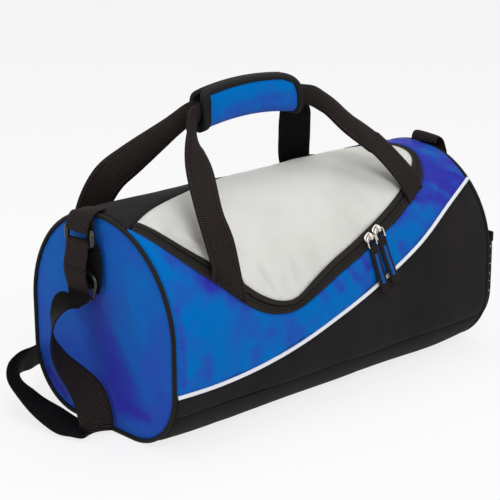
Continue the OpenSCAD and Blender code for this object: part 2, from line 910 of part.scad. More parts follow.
// Half of the free width of the net at the height z
function net_half(z) =
  half_bottom + corner_radius * cos(asin(max(0, 1 - z / corner_radius))) - piping - net_edge;
module pocket_shape(inset) {
  intersection() {
    barrel_outline(inset);
    translate([-top_radius, 0])
      square([2 * top_radius, pocket_height]);
  }
}
module net_pocket() {
  columns = floor(top_radius / net_pitch);
  rows = floor((pocket_height - net_bottom - net_top) / net_pitch);
  color("DimGray")
    along_x(pocket_x - net_thick, pocket_x)
      difference() {
        pocket_shape(piping + 1);
        for (i = [-columns : columns], j = [0 : rows - 1])
          if (abs(i * net_pitch) + net_hole < net_half(net_bottom + j * net_pitch))
            translate([i * net_pitch - net_hole / 2, net_bottom + j * net_pitch])
              square(net_hole);
      }
}
module pocket_gusset() {
  color("DimGray")
    along_x(end_panel_x + cloth / 2 + seam_gap, pocket_x - net_thick - seam_gap)
      difference() {
        pocket_shape(piping + 1);
        pocket_shape(piping + 1 + gusset);
        translate([-top_radius + piping + 1 + gusset, corner_radius])
          square([2 * (top_radius - piping - 1 - gusset), top_radius]);
      }
}
module pocket_binding() {
  color("Black")
    along_x(pocket_x + seam_gap, pocket_x + seam_gap + binding_thick)
      translate([-top_radius + piping + net_edge, pocket_height - binding_height])
        square([2 * (top_radius - piping - net_edge), binding_height]);
}

// Shoulder strap, from its turn on the floor round behind the bag
module shoulder_strap() {
  end_z = top_z + loop_bottom - seam_gap;
  route = curve(
    concat(
      [for (k = [0 : 2]) [-loop_x, ring_offset, end_z - k * strap_lead[0]]],
      strap_floor,
      [for (k = [2 : -1 : 0]) [loop_x, -ring_offset, end_z - k * strap_lead[1]]]
    ),
    strap_steps
  );
  color("Black")
    band(route, curve(strap_across, strap_steps), full(route));
}

front_blue_panel();
front_black_panel();
back_panel();
bottom_panel();
left_end_panel();
right_end_panel();
left_end_piping();
right_end_piping();
white_piping();
lid_yoke();
body_zip_tape();
body_zip_coil();
base_board();
front_left_hem();
front_right_hem();
back_left_hem();
back_right_hem();
left_strap_tab();
right_strap_tab();
net_pocket();
pocket_gusset();
pocket_binding();
lid_panel();
lid_zip_tape();
lid_zip_coil();
front_handle();
front_grip();
front_grip_binding();
back_handle();
back_grip();
left_slider();
right_slider();
left_pull_ring();
right_pull_ring();
left_pull_tab();
right_pull_tab();
left_pull_stripe();
right_pull_stripe();
left_ring();
right_ring();
left_strap_loop();
right_strap_loop();
tri_glide();
shoulder_strap();
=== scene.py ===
"""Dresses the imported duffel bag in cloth, webbing and hardware, and sets the camera and the light."""

import math

import bpy
import numpy as np
from mathutils import Matrix, Vector, noise
from mathutils.geometry import delaunay_2d_cdt


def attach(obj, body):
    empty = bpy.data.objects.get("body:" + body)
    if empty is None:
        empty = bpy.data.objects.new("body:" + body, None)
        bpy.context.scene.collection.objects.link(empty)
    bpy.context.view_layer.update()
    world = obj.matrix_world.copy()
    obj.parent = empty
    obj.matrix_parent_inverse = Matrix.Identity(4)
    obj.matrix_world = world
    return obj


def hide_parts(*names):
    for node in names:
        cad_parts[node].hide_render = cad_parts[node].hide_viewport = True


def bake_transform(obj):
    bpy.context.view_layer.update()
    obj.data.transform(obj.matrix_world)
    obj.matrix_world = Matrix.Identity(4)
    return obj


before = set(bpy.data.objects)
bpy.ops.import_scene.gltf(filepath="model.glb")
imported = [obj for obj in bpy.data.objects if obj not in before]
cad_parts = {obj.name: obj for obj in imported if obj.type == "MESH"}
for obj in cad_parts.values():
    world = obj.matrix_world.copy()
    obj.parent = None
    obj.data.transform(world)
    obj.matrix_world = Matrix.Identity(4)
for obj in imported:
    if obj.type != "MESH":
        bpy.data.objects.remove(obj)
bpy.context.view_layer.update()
collection = bpy.context.scene.collection

# Sizes of the barrel, in metres
LENGTH = 0.508
RADIUS = 0.123
TOP_HEIGHT = 0.121
CORNER = 0.072
PIPING = 0.005
CLOTH = 0.0016
HALF_BOTTOM = RADIUS - CORNER
ARC_END = RADIUS * math.pi / 2
SIDE_END = ARC_END + TOP_HEIGHT - CORNER
CORNER_END = SIDE_END + CORNER * math.pi / 2
HALF_ROUND = CORNER_END + HALF_BOTTOM
BARREL_END = LENGTH / 2 - PIPING
BOTTOM_SEAM_Z = 0.043
BOTTOM_SEAM = SIDE_END + CORNER * math.asin(1 - BOTTOM_SEAM_Z / CORNER)
SEAM_GAP = 0.0011
WEBBING = 0.038
WEBBING_THICK = 0.0018
ZIP_HALF = 0.0075
ZIP_OUT = 0.0112
MESH_STEP = 0.0045
BOTTOM_STEP = 0.007
PATH_STEP = 0.004
LINE_STEP = 0.003

# How far the filled cloth swells, where that fades at the ends and the floor, and the flat place at the pulls
SWELL = 0.0022
SWELL_WAVE = 0.0016
SWELL_WAVE_SIZE = 0.11
SWELL_END = 0.018
SWELL_FLOOR = 0.05
PULLS_AT = (0.068, 0.140)
PULLS_REACH = (0.07, 0.055)

# Routes on the cloth, in millimetres: x, and s round the barrel from the top line, positive down the front
ZIP_ROUTE = [
    (-236, 43), (-206, 96), (-152, 150), (-124, 170), (-98, 179.3), (-74, 179.6), (-42, 166.5), (-10, 153),
    (40, 136), (110, 107), (165, 77), (198, 44), (204, 12), (188, -18), (160, -38),
]
WHITE_ROUTE = [
    (-254, 245), (-190, 244.5), (-130, 239), (-65, 226), (0, 206), (60, 184), (125, 157), (190, 123),
    (254, 93),
]
BACK_ROUTE = [
    (-254, 46), (-238, 43), (-209, 29), (-170, 14), (-111, -6), (-40, -36), (40, -62), (120, -80), (190, -90),
    (254, -96),
]
YOKE_RIGHT = 0.171

# Shoulder strap, in millimetres: its points and the direction across it at each of them
STRAP_ROUTE = [
    (-266.8, 18, 157.7), (-266.8, 18, 154.7), (-266.8, 18, 151.7), (-269, 18, 148.8),
    (-280, 20, 148.5), (-292.5, 20, 141.8), (-300.5, 19.2, 131.5), (-303.7, 18.6, 120),
    (-304.6, 17.5, 109), (-302.5, 15.4, 97), (-295.7, 10.6, 81), (-285.8, 2.6, 65),
    (-276.5, -6, 46), (-274, -11.5, 27), (-274.5, -15.5, 13), (-276, -17, 7.5),
    (-279, -10.5, 5.2), (-283.5, 1, 5.4), (-289.4, 19, 7), (-292.5, 47.4, 14.4),
    (-293.4, 76.4, 22.7), (-292.8, 100.4, 32.4), (-288.1, 112.2, 39.7), (-278.4, 120.5, 44.6),
    (-262, 130, 45.5), (-240, 141, 43), (-214, 159, 39), (-178, 178, 29),
    (-130, 183, 21), (-60, 172, 20), (60, 158, 20), (170, 156, 20),
    (252, 152, 20), (296, 110, 22), (300, 44, 44), (296, 8, 90),
    (286, -10, 134), (266.8, -18, 149.7), (266.8, -18, 153.7), (266.8, -18, 157.7),
]
STRAP_ACROSS = [
    (0, 1, 0), (0, 1, 0), (0, 1, 0), (0, 1, 0),
    (0, 0.97, 0.24), (0.14, 0.97, -0.21), (0.43, 0.86, -0.27), (0.58, 0.8, -0.17),
    (0.67, 0.74, -0.07), (0.74, 0.67, 0.07), (0.81, 0.55, 0.2), (0.88, 0.33, 0.33),
    (0.92, -0.15, 0.36), (0.89, -0.38, 0.24), (0.95, -0.25, 0.12), (0.99, -0.05, 0.05),
    (0.97, 0.2, 0.03), (0.95, 0.3, 0.04), (0.96, 0.24, 0.12), (1, 0.07, 0),
    (0.96, 0.09, -0.26), (0.88, 0.09, -0.47), (0.61, 0.04, -0.79), (0.13, 0.22, -0.97),
    (-0.2, 0.4, -0.9), (-0.28, 0.28, -0.92), (-0.2, 0.25, -0.95), (0, 0.1, -1),
    (0, 0, -1), (0, 0, -1), (0, 0, -1), (0, 0, -1),
    (0, 0, -1), (-0.3, -0.2, -0.9), (0, -0.8, -0.6), (0, -1, 0),
    (0, -1, 0), (0, -1, 0), (0, -1, 0), (0, -1, 0),
]


def metres(route):
    """A route in millimetres as points in metres."""
    return np.array(route, float) / 1000


def unit(v):
    """Vectors of length one, for one vector or a row of them."""
    v = np.array(v, float)
    return v / np.linalg.norm(v, axis=-1, keepdims=True)


def curve(points, steps=12):
    """A smooth curve through all points."""
    p = np.array(points, float)
    p = np.vstack([2 * p[0] - p[1], p, 2 * p[-1] - p[-2]])
    made = []
    for i in range(1, len(p) - 2):
        a, b, c, d = p[i - 1 : i + 3]
        for t in np.arange(steps) / steps:
            slope = (c - a) * t
            bend = (2 * a - 5 * b + 4 * c - d) * t**2
            twist = (3 * b - a - 3 * c + d) * t**3
            made.append((2 * b + slope + bend + twist) / 2)
    made.append(p[-2])
    return np.array(made)


def headings(points, closed=False):
    """The unit direction of a route at each of its points."""
    if closed:
        return unit(np.roll(points, -1, 0) - np.roll(points, 1, 0))
    return unit(np.gradient(points, axis=0))


def beside(route, distance):
    """A route on the cloth moved sideways, positive to the outside of the lid."""
    t = headings(route)
    return route + np.reshape(distance, (-1, 1)) * np.column_stack([-t[:, 1], t[:, 0]])


def run_of(points):
    """The length along a line up to each of its points."""
    return np.concatenate([[0], np.cumsum(np.linalg.norm(np.diff(points, axis=0), axis=1))])


def even(points, step, closed=False):
    """The same line with points about step apart."""
    p = np.array(points, float)
    if closed:
        p = np.vstack([p, p[:1]])
    run = run_of(p)
    at = np.linspace(0, run[-1], max(2, round(run[-1] / step)) + 1)
    if closed:
        at = at[:-1]
    return np.column_stack([np.interp(at, run, p[:, k]) for k in range(p.shape[1])])


def smooth(t):
    """A soft step from 0 to 1."""
    t = np.clip(t, 0, 1)
    return t * t * (3 - 2 * t)


def ripple(u, v, size, seed=0.0):
    """Soft noise between about -1 and 1, with waves of that size in metres."""
    return noise.noise(Vector((u / size, v / size, seed)))


def ridge(u, v, a, b, width):
    """1 on the line from a to b, falling off to its sides and softly past its ends."""
    du, dv = b[0] - a[0], b[1] - a[1]
    t = ((u - a[0]) * du + (v - a[1]) * dv) / (du * du + dv * dv)
    t = min(max(t, 0), 1)
    off = math.hypot(u - a[0] - t * du, v - a[1] - t * dv)
    return math.exp(-((off / width) ** 2))


def folds(u, v, lines):
    """The height and the painted light and shade in the colour that a list of folds makes at one place."""
    high = 0.0
    painted_shading = 0.0
    for a, b, width, height, colour in lines:
        share = ridge(u, v, a, b, width)
        high += share * height
        painted_shading += share * colour
    return high, painted_shading


def outline(a):
    """Point and outward direction of the half outline, as (out, up), at the length a from the top line."""
    if a <= ARC_END:
        d = (math.sin(a / RADIUS), math.cos(a / RADIUS))
        return (RADIUS * d[0], TOP_HEIGHT + RADIUS * d[1]), d
    if a <= SIDE_END:
        return (RADIUS, TOP_HEIGHT - (a - ARC_END)), (1.0, 0.0)
    if a <= CORNER_END:
        t = (a - SIDE_END) / CORNER
        d = (math.cos(t), -math.sin(t))
        return (HALF_BOTTOM + CORNER * d[0], CORNER + CORNER * d[1]), d
    return (HALF_BOTTOM - (a - CORNER_END), 0.0), (0.0, -1.0)


def swell(x, s):
    """How far the filled barrel stands out from its plain outline."""
    ends = 1 - math.exp(-max(0, BARREL_END - abs(x)) / SWELL_END)
    off_floor = float(smooth((CORNER_END - abs(s)) / SWELL_FLOOR))
    from_pulls = ((x - PULLS_AT[0]) / PULLS_REACH[0]) ** 2 + ((s - PULLS_AT[1]) / PULLS_REACH[1]) ** 2
    height = SWELL + SWELL_WAVE * ripple(x, s, SWELL_WAVE_SIZE, 3.0)
    return ends * off_floor * (1 - math.exp(-from_pulls)) * height


def on_bag(x, s, h=0.0):
    """The point of the bag at x and s, the height h over the cloth."""
    (out, up), (dy, dz) = outline(abs(s))
    side = 1 if s < 0 else -1
    h = h + swell(x, s)
    return Vector((x, side * (out + h * dy), up + h * dz))


ZIP_LINE = even(curve(metres(ZIP_ROUTE)), LINE_STEP)
WHITE_LINE = even(curve(metres(WHITE_ROUTE)), LINE_STEP)
BACK_LINE = even(curve(metres(BACK_ROUTE)), LINE_STEP)
ZIP_TURN_X = 0.165
ZIP_TURN_LENGTH = 0.045
ZIP_NARROWING = 0.45
ZIP_BEND_LENGTH = 0.040
ZIP_BEND_NARROWING = 0.25


def zip_shares():
    """The share of its full width that the zipper shows: less in its lowest bend and near its right end."""
    run = run_of(ZIP_LINE)
    turn = run[int(np.argmax(ZIP_LINE[:, 0] > ZIP_TURN_X))]
    lowest = run[int(np.argmax(ZIP_LINE[:, 1]))]
    at_end = ZIP_NARROWING * smooth((run - turn) / ZIP_TURN_LENGTH)
    at_bend = ZIP_BEND_NARROWING * np.exp(-(((run - lowest) / ZIP_BEND_LENGTH) ** 2))
    return 1 - at_end - at_bend


ZIP_SHARES = zip_shares()


# Materials

def add_node(tree, kind, settings=None, inputs=None):
    """A shader node with its settings and input values."""
    made = tree.nodes.new(kind)
    for key, value in (settings or {}).items():
        setattr(made, key, value)
    for key, value in (inputs or {}).items():
        made.inputs[key].default_value = value
    return made


def math_node(tree, operation, *values):
    """A maths node on sockets or numbers."""
    made = add_node(tree, "ShaderNodeMath", {"operation": operation})
    for socket, value in zip(made.inputs, values):
        if isinstance(value, (int, float)):
            socket.default_value = value
        else:
            tree.links.new(value, socket)
    return made.outputs[0]


def wave(tree, place, direction, period):
    """Parallel threads across u or v, with that period in metres, from 0 to 1."""
    made = add_node(
        tree, "ShaderNodeTexWave", {"bands_direction": direction}, {"Scale": 2 * math.pi / (20 * period)}
    )
    tree.links.new(place, made.inputs["Vector"])
    return made.outputs["Fac"]


def speckle(tree, place, size, detail=2.0, kind="FBM"):
    """Noise with spots of about that size in metres."""
    made = add_node(tree, "ShaderNodeTexNoise", {"noise_type": kind}, {"Scale": 1 / size, "Detail": detail})
    tree.links.new(place, made.inputs["Vector"])
    return made.outputs["Fac"]


def blend_colours(tree, factor, a, b, span=(0.3, 0.7)):
    """Colour a at the low end of the factor's span and b at its high end."""
    ramp = add_node(tree, "ShaderNodeValToRGB")
    for stop, at, colour in zip(ramp.color_ramp.elements, span, (a, b)):
        stop.position = at
        stop.color = (*colour, 1)
    tree.links.new(factor, ramp.inputs["Fac"])
    return ramp.outputs["Color"]


def start_material(name, sockets):
    """A new material, its tree, its surface shader and the cloth coordinates."""
    material = bpy.data.materials.new(name)
    material.use_nodes = True
    tree = material.node_tree
    shader = tree.nodes["Principled BSDF"]
    for key, value in sockets.items():
        shader.inputs[key].default_value = value
    place = add_node(tree, "ShaderNodeTexCoord")
    return material, tree, shader, place


def bump(tree, shader, height, strength, depth):
    """Raises the surface by a height map of that depth in metres."""
    made = add_node(tree, "ShaderNodeBump", inputs={"Strength": strength, "Distance": depth})
    tree.links.new(height, made.inputs["Height"])
    tree.links.new(made.outputs["Normal"], shader.inputs["Normal"])


# The depth of a crease, in metres, that changes the cloth from its low colour to its high one: creases paint
# shade and light into the colour
CREASE_SHADING_DEPTH = 0.004


def cloth_material(name, low, high, thread, depth, rough, shine=0.12, tint=(1, 1, 1), crumple=0.0002):
    """Woven cloth: crossing threads, creases of the depth crumple, and soft patches between two colours. The
    fold attribute and the creases paint shade and light into the colour, from the low colour in painted shade
    to the high one in painted light.
    """
    sockets = {"Specular IOR Level": shine, "Specular Tint": (*tint, 1)}
    material, tree, shader, place = start_material(name, sockets)
    uv = place.outputs["UV"]
    warp = math_node(tree, "SUBTRACT", wave(tree, uv, "X", thread), 0.5)
    weft = math_node(tree, "SUBTRACT", wave(tree, uv, "Y", thread), 0.5)
    weave = math_node(tree, "MULTIPLY_ADD", warp, weft, 0.5)
    fold = add_node(tree, "ShaderNodeAttribute", {"attribute_name": "fold"})
    patch = speckle(tree, uv, 0.05, 4.0)
    fine = speckle(tree, uv, 0.0016)
    creases = math_node(tree, "SUBTRACT", speckle(tree, uv, 0.017, 2.0, "RIDGED_MULTIFRACTAL"), 0.32)
    mixed = fold.outputs["Fac"]
    # Painted light and shade: the fold attribute and the ridges of the creases lift or lower the colour
    # between low and high.
    for part, share in ((patch, 0.35), (fine, 0.12), (weave, 0.25), (creases, crumple / CREASE_SHADING_DEPTH)):
        mixed = math_node(tree, "MULTIPLY_ADD", part, share, mixed)
    tree.links.new(blend_colours(tree, mixed, low, high, (0.35, 1.0)), shader.inputs["Base Color"])
    tree.links.new(math_node(tree, "MULTIPLY_ADD", fine, 0.15, rough - 0.07), shader.inputs["Roughness"])
    height = math_node(tree, "MULTIPLY_ADD", fine, 0.2, weave)
    height = math_node(tree, "MULTIPLY_ADD", creases, crumple / depth, height)
    bump(tree, shader, height, 0.6, depth)
    return material


def webbing_material(name, low, high, rib, column, depth, rough):
    """Ribbed webbing: cross ribs with lengthwise columns, u across and v along."""
    material, tree, shader, place = start_material(name, {"Specular IOR Level": 0.1})
    uv = place.outputs["UV"]
    relief = math_node(tree, "MULTIPLY_ADD", wave(tree, uv, "X", column), 0.45, wave(tree, uv, "Y", rib))
    fuzz = speckle(tree, uv, 0.003, 3.0)
    worn = math_node(tree, "MULTIPLY", math_node(tree, "ADD", relief, fuzz), 0.5)
    tree.links.new(blend_colours(tree, worn, low, high, (0.40, 0.88)), shader.inputs["Base Color"])
    tree.links.new(math_node(tree, "MULTIPLY_ADD", fuzz, 0.2, rough - 0.1), shader.inputs["Roughness"])
    bump(tree, shader, math_node(tree, "MULTIPLY_ADD", fuzz, 0.25, relief), 0.8, depth)
    return material


def hard_material(name, low, high, rough, metal, grain, depth):
    """Metal or moulded plastic with fine grain and small differences in gloss."""
    material, tree, shader, place = start_material(name, {"Metallic": metal})
    spot = place.outputs["Object"]
    mottle = speckle(tree, spot, grain * 8, 4.0)
    fine = speckle(tree, spot, grain, 2.0)
    tree.links.new(blend_colours(tree, mottle, low, high), shader.inputs["Base Color"])
    tree.links.new(math_node(tree, "MULTIPLY_ADD", mottle, 0.16, rough - 0.08), shader.inputs["Roughness"])
    bump(tree, shader, fine, 0.3, depth)
    return material


# On the blue, black and grey cloth, led by the fold attribute, the low colour is the cloth in painted shade
# and the high colour the cloth in painted light; the blue's violet low colour is its painted shade.
BLUE = cloth_material(
    "blue_nylon", (0.031, 0.035, 0.390), (0.0005, 0.150, 0.510),
    thread=0.0007, depth=0.00012, rough=0.5, shine=0.06, tint=(0.05, 0.35, 1.0), crumple=0.0009,
)
BLACK = cloth_material(
    "black_polyester", (0.0068, 0.0058, 0.0065), (0.0155, 0.0135, 0.0145),
    thread=0.0011, depth=0.00022, rough=0.8,
)
GREY = cloth_material(
    "grey_polyester", (0.46, 0.45, 0.42), (0.74, 0.735, 0.70),
    thread=0.0009, depth=0.00016, rough=0.75,
)
WHITE = cloth_material(
    "white_cord", (0.84, 0.86, 0.89), (0.95, 0.96, 0.98),
    thread=0.0009, depth=0.0002, rough=0.6, shine=0.3,
)
LINING = cloth_material(
    "coated_lining", (0.020, 0.020, 0.022), (0.040, 0.040, 0.043),
    thread=0.0011, depth=0.0001, rough=0.5,
)
TRIM = cloth_material(
    "black_trim", (0.005, 0.0045, 0.0045), (0.016, 0.014, 0.013),
    thread=0.0008, depth=0.0002, rough=0.7, shine=0.2,
)
WEB = webbing_material(
    "black_webbing", (0.0014, 0.0010, 0.0010), (0.037, 0.0265, 0.0240),
    rib=0.0022, column=0.0019, depth=0.0004, rough=0.75,
)
# A darker copy of the webbing, used as painted shade on faces that lie in shadow.
WEB_SHADED = webbing_material(
    "webbing_painted_shade", (0.0010, 0.0008, 0.0008), (0.0065, 0.0050, 0.0046),
    rib=0.0022, column=0.0019, depth=0.0003, rough=0.8,
)
TAPE = webbing_material(
    "zip_tape", (0.006, 0.0055, 0.005), (0.040, 0.035, 0.032),
    rib=0.0012, column=0.0016, depth=0.0003, rough=0.7,
)
STRIPE = webbing_material(
    "blue_stripe", (0.004, 0.05, 0.22), (0.004, 0.12, 0.50),
    rib=0.0012, column=0.0011, depth=0.0002, rough=0.6,
)
NET = webbing_material(
    "black_net", (0.008, 0.008, 0.008), (0.035, 0.034, 0.034),
    rib=0.0014, column=0.0013, depth=0.0003, rough=0.7,
)
NICKEL = hard_material(
    "nickel", (0.62, 0.58, 0.53), (0.80, 0.77, 0.72),
    rough=0.2, metal=1.0, grain=0.0006, depth=0.00003,
)
PLASTIC = hard_material(
    "black_plastic", (0.006, 0.006, 0.006), (0.014, 0.014, 0.014),
    rough=0.24, metal=0.0, grain=0.0008, depth=0.00005,
)
BOARD = hard_material(
    "board", (0.016, 0.016, 0.017), (0.034, 0.034, 0.035),
    rough=0.7, metal=0.0, grain=0.0012, depth=0.0002,
)


# Meshes

def mesh_object(name, points, faces, uvs, materials, face_materials=None):
    """A smooth mesh object with cloth coordinates in metres."""
    mesh = bpy.data.meshes.new(name)
    mesh.from_pydata([tuple(p) for p in points], [], [tuple(int(i) for i in f) for f in faces])
    layer = mesh.uv_layers.new(name="cloth")
    corners = np.concatenate([np.array(f, int) for f in faces])
    layer.data.foreach_set("uv", np.array(uvs, np.float32)[corners].ravel())
    mesh.polygons.foreach_set("use_smooth", [True] * len(faces))
    for material in materials:
        mesh.materials.append(material)
    if face_materials is not None:
        mesh.polygons.foreach_set("material_index", face_materials)
    mesh.update()
    made = bpy.data.objects.new(name, mesh)
    collection.objects.link(made)
    return made


def set_fold(piece, values):
    """Keeps the painted light and shade of each point, from 0 to 1, for the colour of the cloth: low in folds
    and hollows, high on raised places.
    """
    attribute = piece.data.attributes.new("fold", "FLOAT", "POINT")
    attribute.data.foreach_set("value", np.array(values, np.float32))


def stand_for(slot, nodes):
    """Hides the CAD nodes that the piece stands for; slot is not used."""
    if nodes:
        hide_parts(*nodes)


def wear(piece, body, slot, *nodes):
    """The piece rides on a body."""
    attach(piece, body)
    stand_for(slot, nodes)


def bend_with(piece, body, span, slot, *nodes):
    """The piece keeps its place in world space, and the CAD nodes that it stands for are hidden. span is
    unpacked but not used, and body is not used.
    """
    start, end = span
    tuple(start)
    tuple(end)
    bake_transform(piece)
    stand_for(slot, nodes)


def inside(points, loop):
    """Which points lie inside a closed loop."""
    a = loop
    b = np.roll(loop, -1, 0)
    x = points[:, 0:1]
    y = points[:, 1:2]
    crosses = (a[:, 1] > y) != (b[:, 1] > y)
    rise = b[:, 1] - a[:, 1]
    cut = a[:, 0] + (b[:, 0] - a[:, 0]) * (y - a[:, 1]) / np.where(rise == 0, 1e-12, rise)
    return (crosses & (x < cut)).sum(1) % 2 == 1


def to_edge(points, loop):
    """How far each point is from a closed loop, and the length along the loop of the nearest place."""
    a = loop
    d = np.roll(loop, -1, 0) - a
    size = np.linalg.norm(d, axis=1)
    run = np.concatenate([[0], np.cumsum(size)[:-1]])
    gaps = []
    places = []
    for part in np.array_split(points, max(1, len(points) // 1000)):
        off = part[:, None, :] - a
        t = np.clip((off * d).sum(2) / (size**2), 0, 1)
        gap = np.linalg.norm(off - t[:, :, None] * d, axis=2)
        near = gap.argmin(1)
        rows = np.arange(len(part))
        gaps.append(gap[rows, near])
        places.append(run[near] + t[rows, near] * size[near])
    return np.concatenate(gaps), np.concatenate(places)


def lattice(low, high, step):
    """Points in staggered rows between two corners."""
    rows = []
    for j, v in enumerate(np.arange(low[1], high[1], step * 0.87)):
        shift = step / 2 if j % 2 else 0
        us = np.arange(low[0] + shift, high[0], step)
        rows.append(np.column_stack([us, np.full(len(us), v)]))
    return np.concatenate(rows)


def sheet_mesh(loop, step, holes=None, hole=0.0):
    """Points and triangles that fill a closed loop, with the distance and place of the nearest edge.

    holes are the centres of six-sided holes with the radius hole."""
    loop = even(loop, step * 0.8, closed=True)
    rim = [(i, (i + 1) % len(loop)) for i in range(len(loop))]
    if holes is None:
        inner = lattice(loop.min(0), loop.max(0), step)
        inner = inner[inside(inner, loop)]
        inner = inner[to_edge(inner, loop)[0] > 0.55 * step]
    else:
        turn = np.arange(6) * math.pi / 3 + math.pi / 6
        corners = hole * np.column_stack([np.cos(turn), np.sin(turn)])
        inner = np.concatenate([centre + corners for centre in holes])
        for i in range(len(holes)):
            first = len(loop) + 6 * i
            rim += [(first + k, first + (k + 1) % 6) for k in range(6)]
    flat = [Vector(p) for p in np.vstack([loop, inner])]
    made = delaunay_2d_cdt(flat, rim, [], 1, 1e-7)
    points = np.array([tuple(p) for p in made[0]])
    triangles = [tuple(f) for f in made[2]]
    if holes is not None:
        middles = np.array([points[list(t)].mean(0) for t in triangles])
        nearest = [np.min(((holes - m) ** 2).sum(1)) for m in middles]
        triangles = [t for t, n in zip(triangles, nearest) if n > (0.8 * hole) ** 2]
    gap, along = to_edge(points, loop)
    return points, triangles, gap, along


def panel(name, loop, step, place, height, cloth, lining=LINING, depth=CLOTH, holes=None, hole=0.0):
    """A piece of cloth with two sides. place gives a point at (u, v, h), and height gives h and the fold."""
    points, triangles, gap, along = sheet_mesh(loop, step, holes, hole)
    shape = [height(u, v, g, a) for (u, v), g, a in zip(points, gap, along)]
    outer = [place(u, v, h) for (u, v), (h, _) in zip(points, shape)]
    inner = [place(u, v, h - depth) for (u, v), (h, _) in zip(points, shape)]
    count = len(points)
    a, b, c = triangles[0]
    normal = (outer[b] - outer[a]).cross(outer[c] - outer[a])
    if normal.dot(outer[a] - inner[a]) < 0:
        triangles = [t[::-1] for t in triangles]
    edges = {}
    for t in triangles:
        for i in range(3):
            edges[(t[i], t[(i + 1) % 3])] = True
    rim = [(i, j) for i, j in edges if (j, i) not in edges]
    faces = list(triangles)
    faces += [tuple(i + count for i in t[::-1]) for t in triangles]
    faces += [(i, i + count, j + count, j) for i, j in rim]
    sides = [0] * len(triangles) + [1] * len(triangles) + [0] * len(rim)
    piece = mesh_object(name, outer + inner, faces, np.vstack([points, points]), [cloth, lining], sides)
    set_fold(piece, [f for _, f in shape] * 2)
    return piece


def ring_faces(m, n, closed=False):
    """Faces round m rings of n points each, with a face on both ends unless the last ring meets the first."""
    faces = []
    for i in range(m if closed else m - 1):
        for j in range(n):
            k = (i + 1) % m
            l = (j + 1) % n
            faces.append((i * n + j, i * n + l, k * n + l, k * n + j))
    if not closed:
        faces.append(tuple(range(n))[::-1])
        faces.append(tuple((m - 1) * n + j for j in range(n)))
    return faces


def tube(name, rings, run, material, closed=False):
    """A solid through equal rings of points, run being the length along it at each ring."""
    n = len(rings[0])
    m = len(rings)
    faces = ring_faces(m, n, closed)
    ring_run = run_of(np.array(rings[m // 2], float))
    uvs = np.array([(ring_run[j], run[i]) for i in range(m) for j in range(n)])
    return mesh_object(name, np.concatenate(rings), faces, uvs, [material])


def swept_rings(path, section, across, closed=False):
    """Rings along a path. section is one ring of (across, up) points, or gives the ring at place i."""
    t = headings(path, closed)
    side = unit(across - (across * t).sum(1)[:, None] * t)
    up = np.cross(t, side)
    rings = []
    for i, p in enumerate(path):
        ring = np.array(section(i) if callable(section) else section)
        rings.append(p + ring[:, 0:1] * side[i] + ring[:, 1:2] * up[i])
    return rings


def sweep(name, path, section, across, material, closed=False):
    """A solid along a path, with the sections of swept_rings."""
    across = np.broadcast_to(np.array(across, float), path.shape)
    return tube(name, swept_rings(path, section, across, closed), run_of(path), material, closed)


def round_section(radius, sides=12):
    """A circle as a ring of (across, up) points."""
    turn = np.arange(sides) / sides * 2 * math.pi
    return np.column_stack([radius * np.cos(turn), radius * np.sin(turn)])


def flat_section(width, thick, share=1.0, curl=1.0, steps=10):
    """The section of webbing. A share below one rolls it up so that it looks that much narrower."""
    turn = 0.0
    if share < 0.995:
        low, high = 0.0, 3.1
        for _ in range(40):
            turn = (low + high) / 2
            if math.sin(turn) / turn > share:
                low = turn
            else:
                high = turn
    at = np.linspace(-1, 1, steps + 1)
    if turn > 0.01:
        bend = width / 2 / turn
        middle = np.column_stack([bend * np.sin(at * turn), curl * bend * (1 - np.cos(at * turn))])
        normal = np.column_stack([-np.sin(at * turn), np.cos(at * turn)])
    else:
        middle = np.column_stack([at * width / 2, np.zeros(len(at))])
        normal = np.tile((0.0, 1.0), (len(at), 1))
    half = thick / 2 * np.where(np.abs(at) > 0.99, 0.45, 1.0)[:, None]
    return np.vstack([middle - half * normal, (middle + half * normal)[::-1]])


def strip(name, route, profile, place, material, shares=1.0):
    """A strip along a route on a surface. profile is a closed ring of (sideways, height) points."""
    edges = [beside(route, d * shares) for d, _ in profile]
    n = len(profile)
    m = len(route)
    points = [place(*edges[j][i], profile[j][1]) for i in range(m) for j in range(n)]
    faces = [face[:1] + face[:0:-1] for face in ring_faces(m, n)]
    run = run_of(route)
    uvs = np.array([(profile[j][0], run[i]) for i in range(m) for j in range(n)])
    return mesh_object(name, points, faces, uvs, [material])


# Camera at the angle of the photograph, with a plain floor and soft light
CAMERA_AZIMUTH = math.radians(-43.4)
CAMERA_ELEVATION = math.radians(17.8)
CAMERA_DISTANCE = 1.970
CAMERA_TARGET = Vector((0, 0, 0.120))
LENS = 120.5
SENSOR = 36
LENS_SHIFT = (-0.042, 0.050)


def add_camera():
    back = Vector((
        math.sin(CAMERA_AZIMUTH) * math.cos(CAMERA_ELEVATION),
        -math.cos(CAMERA_AZIMUTH) * math.cos(CAMERA_ELEVATION),
        math.sin(CAMERA_ELEVATION),
    ))
    data = bpy.data.cameras.new("camera")
    data.lens = LENS
    data.sensor_width = SENSOR
    data.shift_x, data.shift_y = LENS_SHIFT
    camera = bpy.data.objects.new("camera", data)
    camera.location = CAMERA_TARGET + CAMERA_DISTANCE * back
    camera.rotation_euler = back.to_track_quat("Z", "Y").to_euler()
    collection.objects.link(camera)
    bpy.context.scene.camera = camera


def add_light(name, place, size, power):
    """A round soft light that looks at the bag."""
    data = bpy.data.lights.new(name, "AREA")
    data.shape = "DISK"
    data.size = size
    data.energy = power
    light = bpy.data.objects.new(name, data)
    light.location = place
    light.rotation_euler = (Vector(place) - CAMERA_TARGET).to_track_quat("Z", "Y").to_euler()
    collection.objects.link(light)


# The strength of the white sky, and the floor's lift to white in view, half its side and the gap above it
SKY = 0.5
FLOOR_WHITE = 0.8
FLOOR_HALF = 12
FLOOR_GAP = 0.0005


